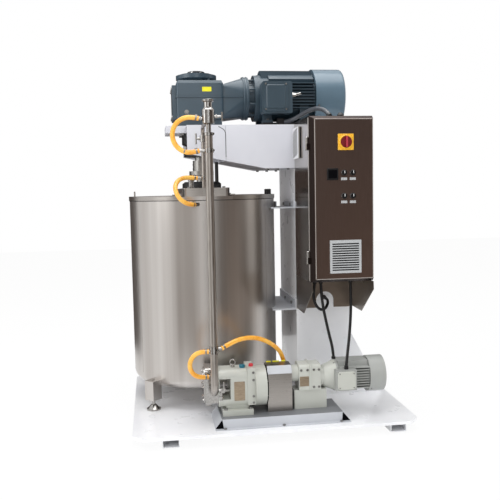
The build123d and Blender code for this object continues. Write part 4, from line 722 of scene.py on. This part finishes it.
def pump_motor_details():
    """Terminal lid, its screws and the fan cover's screws."""
    lid_place = at(0.7935, pump_y - 0.155, 0.321)
    lid_depth = 0.008
    lid = plate(lid_place, front, 0.112, 0.112, lid_depth, 0.018, 0.003)
    piece("pump_terminal_lid", [lid], pump_enamel)
    screws = [
        pin(lid_place + np.array((x, -lid_depth, z)), front, 0.004, 0.003, 0.001, 16)
        for x in (-0.044, 0.044) for z in (-0.044, 0.044)
    ]
    for seat, out in around(at(0.975, pump_y, reducer_z), 0.112, (225, 315), right):
        screws.append(pin(seat, out, 0.005, 0.003, 0.001, 16))
    piece("pump_motor_screws", screws, bolt_steel)


def subframe_details():
    """Painted shade as black triangles in the notches at both ends of the sub-frame's front web, and its grey deck."""
    web_y, lean = riser_y + 0.012, 0.012
    low, high = plate_top + 0.006, deck_top - 0.002
    shells = []
    # Black triangles in the notches at both ends of the front web: painted shade.
    for end_x, inward in ((-0.018, 1), (0.808, -1)):
        foot = at(end_x, web_y - lean - 0.0008, low)
        inner_foot = at(end_x + inward * 0.05, web_y - lean - 0.0008, low)
        tip = at(end_x + inward * 0.04, web_y - 0.0008, high)
        shells.append(grid(np.array(((foot, inner_foot), (tip, tip + np.array((inward * 0.004, 0, 0)))))))
    piece("subframe_notch_painted_shade", shells, black_window_and_painted_shade)
    deck = plate(at(0.395, -0.698, deck_top), up, 0.744, 0.272, 0.0005, 0.002, 0.0001, rise=(0, 1, 0))
    piece("subframe_deck", [deck], deck_enamel)


def guard_details():
    """Yellow bits on the guard's top edge, a pale plate on its folded edge as a painted highlight, and a black ring as
    painted shade in the gap between guard and flange.
    """
    bits = [
        plate(at(x, pump_y + 0.052, 0.412), up, length, 0.009, 0.005, 0.002, 0.0008, rise=(0, 1, 0))
        for x, length in ((0.345, 0.03), (0.392, 0.042), (0.44, 0.026))
    ]
    piece("guard_edge_bits", bits, tag_yellow)
    # A pale plate on the guard's folded edge: a painted highlight.
    fold_height, fold_depth = 0.048, 0.027
    fold_place = at(0.394, pump_y - 0.0605, 0.388)
    painted_edge_light = plate(fold_place, (0, -fold_height, fold_depth), 0.151, 0.053, 0.0006, 0.002, 0.0002)
    piece("guard_fold_painted_highlight", [painted_edge_light], grey_enamel_and_painted_highlight)
    # A black ring in the gap between guard and flange: painted shade.
    inner_r, outer_r, thick = 0.05, 0.119, 0.0072
    gap_shade_ring = ((inner_r, 0), (outer_r, 0), (outer_r, thick), (inner_r, thick), (inner_r, 0))
    piece("guard_gap_painted_shade", [turned(gap_shade_ring, at(0.3104, pump_y, flange_z), right, 64)], black_window_and_painted_shade)


# Cabinet
def door_details():
    """Switch plate with its collar and grip, controller, selector bezels and marks, and blank labels."""
    switch = at(0.828, door_face - 0.0002, 1.772)
    back_plate = plate(switch, front, 0.098, 0.098, 0.006, 0.004, 0.0015)
    collar_r, well_r = 0.044, 0.0355
    collar_profile = (
        (0, 0), (collar_r, 0), (collar_r, 0.006), (collar_r - 0.003, 0.009),
        (well_r, 0.009), (well_r, 0.002), (0, 0.002),
    )
    collar = turned(collar_profile, switch + np.array((0, -0.006, 0)), front, 48)
    piece("switch_plate", [back_plate, collar], yellow_plastic, "door")
    grip = plate(switch + np.array((0, -0.0308, 0)), front, 0.012, 0.064, 0.0015, 0.004, 0.0006)
    piece("switch_grip_face", [grip], grip_red, "main_switch")
    screen_frame = plate(at(0.744, door_face - 0.006, 1.578), front, 0.07, 0.072, 0.003, 0.004, 0.001)
    piece("controller_frame", [screen_frame], black_plastic, "door")
    screen = plate(at(0.744, door_face - 0.009, 1.578), front, 0.054, 0.05, 0.001, 0.003, 0.0004)
    piece("controller_window", [screen], black_window_and_painted_shade, "door")
    bore, outer = 0.0125, 0.0175
    bezel_profile = (
        (bore, 0), (outer, 0), (outer, 0.002), (outer - 0.0025, 0.0045), (bore + 0.0013, 0.0045), (bore + 0.0013, 0),
    )
    labels = []
    for number, (x, z) in enumerate(((0.816, 1.586), (0.871, 1.586), (0.816, 1.445), (0.871, 1.445)), 1):
        centre = at(x, door_face - 0.008, z)
        bezel = turned(bezel_profile, centre, front)
        piece(f"selector_bezel_{number}", [bezel], black_plastic, "door")
        mark = plate(centre + np.array((0, -0.012, 0.004)), front, 0.0035, 0.016, 0.0008, 0.001, 0.0003)
        piece(f"selector_mark_{number}", [mark], white_plastic, f"switch_{number}")
        labels.append(plate(at(x, door_face - 0.0015, z - 0.037), front, 0.027, 0.009, 0.0008, 0.001, 0.0003))
    piece("blank_labels", labels, grille_plastic, "door")


def door_edges():
    """Painted shade as black strips between the grille's slats, and painted highlights as thin bright lines where the
    door's face meets its folded edges.
    """
    slat_low, slat_pitch = 0.99, 0.0146
    # Black strips between the grille's slats: painted shade.
    gaps = [
        plate(at(0.822, door_face - 0.0026, slat_low + slat_pitch * row), front, 0.169, 0.0078, 0.0005, 0.001, 0.0002)
        for row in range(12)
    ]
    piece("grille_gap_painted_shade", gaps, black_window_and_painted_shade, "door")
    face_left, face_right, face_low, face_high = 0.634, 1.001, 0.933, 1.913
    middle_x, middle_z = (face_left + face_right) / 2, (face_low + face_high) / 2
    wide = 0.004
    line = (0.0004, 0.0015, 0.0001)
    # Thin bright lines round the door's face: painted highlights.
    lines = [
        plate(at(x, door_face, middle_z), front, wide, face_high - face_low, *line)
        for x in (face_left + wide / 2, face_right - wide / 2)
    ]
    lines += [
        plate(at(middle_x, door_face, z), front, face_right - face_left, wide, *line)
        for z in (face_low + wide / 2, face_high - wide / 2)
    ]
    piece("door_edge_painted_highlights", lines, edge_painted_highlight, "door")


def cabinet_details():
    """White louvre with slanted black slots and a black line on its front edge, both painted shade, a bright line on
    the cabinet's rim as a painted highlight, and the hinges.
    """
    louvre_z = 1.79
    louvre = at(0.59, -0.3825, louvre_z)
    cover_depth = 0.0016
    cover = plate(louvre, left, 0.176, 0.202, cover_depth, 0.006, 0.0008)
    piece("louvre_cover", [cover], louvre_enamel)
    # Painted shade: black slanted plates in the louvre's slots.
    dark = [
        plate(louvre + np.array((-cover_depth, 0.004, height)), left, 0.14, 0.0085, 0.0006, 0.003, 0.0002, (0, 0.2, 1))
        for height in np.linspace(-0.076, 0.076, 9)
    ]
    # A thin black line down the cover's front edge: its painted shadow.
    dark.append(plate(at(0.6012, -0.4707, louvre_z), front, 0.005, 0.198, 0.0006, 0.002, 0.0002))
    piece("louvre_slot_painted_shade", dark, black_window_and_painted_shade)
    # A bright line down the cabinet's left rim: a painted highlight.
    rim = plate(at(cabinet_left - 0.0003, -0.688, 1.423), left, 0.022, 1.0, 0.0006, 0.001, 0.0002)
    piece("cabinet_rim_painted_highlight", [rim], edge_painted_highlight)
    barrel_r, end_r, half, bevel = 0.0115, 0.009, 0.041, 0.003
    barrel = (
        (0, -half), (end_r, -half), (barrel_r, bevel - half), (barrel_r, half - bevel), (end_r, half), (0, half),
    )
    barrels = [turned(barrel, at(0.594, -0.694, height)) for height in hinge_heights]
    piece("hinge_barrels", barrels, polished_steel)
    leaves = [
        plate(at(0.6, -0.7061, height - 0.0195), front, 0.024, 0.038, 0.0012, 0.003, 0.0004)
        for height in hinge_heights
    ]
    piece("hinge_leaf_faces", leaves, polished_steel, "door")


# Tank and arm
def weld_bead(angle, low, high):
    """A dressed upright weld: r = tank_r + 0.0007 - 0.0015 s s across its width of 7 mm, s from -1 to 1."""
    heights = np.linspace(low, high, 40)
    s = np.linspace(-1, 1, 7)
    turn = math.radians(angle) + 0.0035 / tank_r * s
    reach = tank_r - 0.0008 + 0.0015 * (1 - s**2)
    shape = (len(heights), len(s))
    x = np.broadcast_to(tank_x + reach * np.cos(turn), shape)
    y = np.broadcast_to(tank_y + reach * np.sin(turn), shape)
    return grid(np.stack((x, y, np.broadcast_to(heights[:, None], shape)), -1))


def tank_details():
    """Upright welds, a black ring under the lids' edge as painted shade, a dark level rod, the right lid's grip and a
    feed boss.
    """
    beads = [weld_bead(angle, 0.29, tank_rim - 0.03) for angle in (-38, -152, 90)]
    piece("tank_welds", beads, pipe_steel)
    skirt_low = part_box("lid_left")[0].z
    # A black ring just under the lids' edge, round the tank wall: painted shade.
    seam = ring(at(0, 0, skirt_low - 0.002), up, tank_r + 0.0006, 0.0022, 128, 8)
    piece("lid_edge_painted_shade", [seam], seam_black_and_painted_shade)
    foot_r, rod_r = 0.02, 0.0125
    rod = ((0, 0), (foot_r, 0), (foot_r, 0.008), (rod_r, 0.01), (rod_r, 0.178), (0, 0.178))
    piece("level_rod", [turned(rod, at(0.1, -0.06, bridge_top))], black_plastic)
    handle_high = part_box("lid_right")[1].z
    grip_place = at(0.465, 0, handle_high - 0.0352)
    grip = plate(grip_place, up, 0.04, 0.056, 0.0362, 0.006, 0.003, rise=(0, 1, 0))
    piece("lid_grip", [grip], black_plastic, "right_lid")
    base_r, neck_r, top_r = 0.024, 0.018, 0.022
    boss = (
        (0, 0), (base_r, 0), (base_r, 0.006), (neck_r, 0.008),
        (neck_r, 0.046), (top_r, 0.048), (top_r, 0.058), (0, 0.06),
    )
    piece("feed_boss", [turned(boss, at(-0.085, -0.2, bridge_top))], polished_steel)


def arm_details():
    """The dark seam of the head cover: an upright line, an arc of 60 degrees at its top, and a short slanted tail."""
    seam_x, bend_z, bend_r = 0.144, 1.862, 0.04
    turn = np.linspace(0, np.pi / 3, 8)
    arc_x = seam_x - bend_r + bend_r * np.cos(turn)
    arc_z = bend_z + bend_r * np.sin(turn)
    upright = np.linspace(1.71, 1.855, 12)
    tail = np.linspace(0.008, 0.03, 3)
    x = np.concatenate((np.full(len(upright), seam_x), arc_x, arc_x[-1] - tail * 0.87))
    z = np.concatenate((upright, arc_z, arc_z[-1] + tail * 0.5))
    path = np.stack((tank_x + x, np.full(len(x), tank_y + arm_front), z), -1)
    piece("head_cover_seam", [strip(path, 0.004, 0.0002, 0.0006)], seam_black_and_painted_shade)


def riser_details():
    """Clamp bolts on the riser, and pressed rings on the top ferrule."""
    bolts = []
    for z in (1.8145, 1.721, 0.5585):
        bolts += bolt(at(riser_x + 0.022, riser_y - 0.026, z), (0.6, -1, 0), 0.006, 0.009)
    piece("riser_clamp_bolts", bolts, polished_steel)
    lips = [ring(at(riser_x, riser_y, z), up, 0.0325, 0.002) for z in (2.001, 2.008)]
    piece("ferrule_lips", lips, polished_steel)


# Stage
white = (1, 1, 1, 1)
floor_reach = 14.0
card_distance = 2.0
card_low, card_high = 0.002, 3.4
# Each card: first and last degree from the front, colour at its foot and above, and where the upper colour is full
cards = (
    (-176, -114, "#4e4642", "#4e4642", 1.0),
    (-46, -12, "#a8a29d", "#b4afab", 1.0),
    (8, 26, "#57504b", "#68615c", 1.0),
    (26, 48, "#93877e", "#625853", 1.9),
    (48, 74, "#a39a93", "#b5ada7", 1.0),
    (102, 150, "#332b28", "#453c38", 1.0),
    (150, 186, "#463c38", "#463c38", 1.0),
)


def on_rays(tree, *kinds):
    """One on rays of these kinds, and nothing on others."""
    path = add(tree, "LightPath").outputs
    share = path[kinds[0]]
    for kind in kinds[1:]:
        share = add(tree, "Math", {0: share, 1: path[kind]}, operation="MAXIMUM").outputs[0]
    return share


def add_floor():
    """A plain pale floor, white to the camera and in reflections, that keeps a faint shadow."""
    material, tree = blank("pale_floor")
    matt = add(tree, "BsdfDiffuse", {"Color": linear("#f7f7f6")})
    glow = add(tree, "Emission", {"Color": white, "Strength": 1.0})
    seen = on_rays(tree, "Is Camera Ray", "Is Glossy Ray")
    share = add(tree, "Math", {0: seen, 1: 0.93}, operation="MULTIPLY")
    end(tree, add(tree, "MixShader", {0: share.outputs[0], 1: matt.outputs[0], 2: glow.outputs[0]}))
    side = np.array((-floor_reach, floor_reach))
    x, y = np.meshgrid(side, side, indexing="ij")
    floor_mesh = mesh_of("floor", [grid(np.stack((x, y, 0 * x), -1))])
    floor_mesh.materials.append(material)
    placed("floor", floor_mesh)


def add_cards():
    """Curved dark cards round the machine that only reflections show, as the walls of a workshop would."""
    for number, (first, last, low_colour, high_colour, full) in enumerate(cards):
        material, tree = blank(f"card_{number}")
        height = add(tree, "SeparateXYZ", {"Vector": add(tree, "TexCoord").outputs["Object"]}).outputs["Z"]
        half = add(tree, "Math", {0: height, 1: 0.5}, operation="MULTIPLY").outputs[0]
        shade = tone(tree, half, (0.2, low_colour), (full / 2, high_colour))
        end(tree, add(tree, "Emission", {"Color": shade, "Strength": 1.0}))
        turn = np.radians(np.linspace(first, last, 16))
        shape = (2, len(turn))
        points = np.stack((
            np.broadcast_to(tank_x + card_distance * np.sin(turn), shape),
            np.broadcast_to(tank_y - card_distance * np.cos(turn), shape),
            np.broadcast_to(np.array((card_low, card_high))[:, None], shape),
        ), -1)
        card_mesh = mesh_of(f"card_{number}", [grid(points)])
        card_mesh.materials.append(material)
        card = placed(f"card_{number}", card_mesh)
        card.visible_camera = False
        card.visible_diffuse = False
        card.visible_shadow = False
        card.visible_transmission = False


def add_lights():
    """Large soft lamps from the left, the front and above, and an even white surround."""
    target = Vector(at(0, 0, 1.1))
    for name, place, power, size in (
        ("key", at(-4.4, -2.6, 3.6), 100.0, 3.6),
        ("front", at(0.6, -5.5, 4.2), 45.0, 3.0),
        ("top", at(0.4, -0.6, 6.5), 225.0, 5.0),
    ):
        data = bpy.data.lights.new(name, "AREA")
        data.energy = power
        data.size = size
        lamp = placed(name, data)
        lamp.location = Vector(place)
        lamp.rotation_euler = (target - Vector(place)).to_track_quat("-Z", "Y").to_euler()
    world = bpy.data.worlds.new("surround")
    bpy.context.scene.world = world
    world.use_nodes = True
    tree = world.node_tree
    tree.nodes.clear()
    seen = on_rays(tree, "Is Camera Ray", "Is Glossy Ray", "Is Transmission Ray")
    strength = add(tree, "MapRange", {"Value": seen, "To Min": 0.69, "To Max": 1.0})
    sky = add(tree, "Background", {"Color": white, "Strength": strength.outputs["Result"]})
    tree.links.new(sky.outputs[0], add(tree, "OutputWorld").inputs[0])


add_camera()
for name, facts in cords.items():
    add_cord(name, *facts)
hose_clamps()
gear_unit_details()
main_motor_details()
pump_gearcase_details()
pump_head_details()
reducer_details()
pump_motor_details()
door_details()
door_edges()
cabinet_details()
tank_details()
arm_details()
riser_details()
subframe_details()
guard_details()
add_floor()
add_cards()
add_lights()
bpy.context.scene.view_settings.view_transform = "Standard"
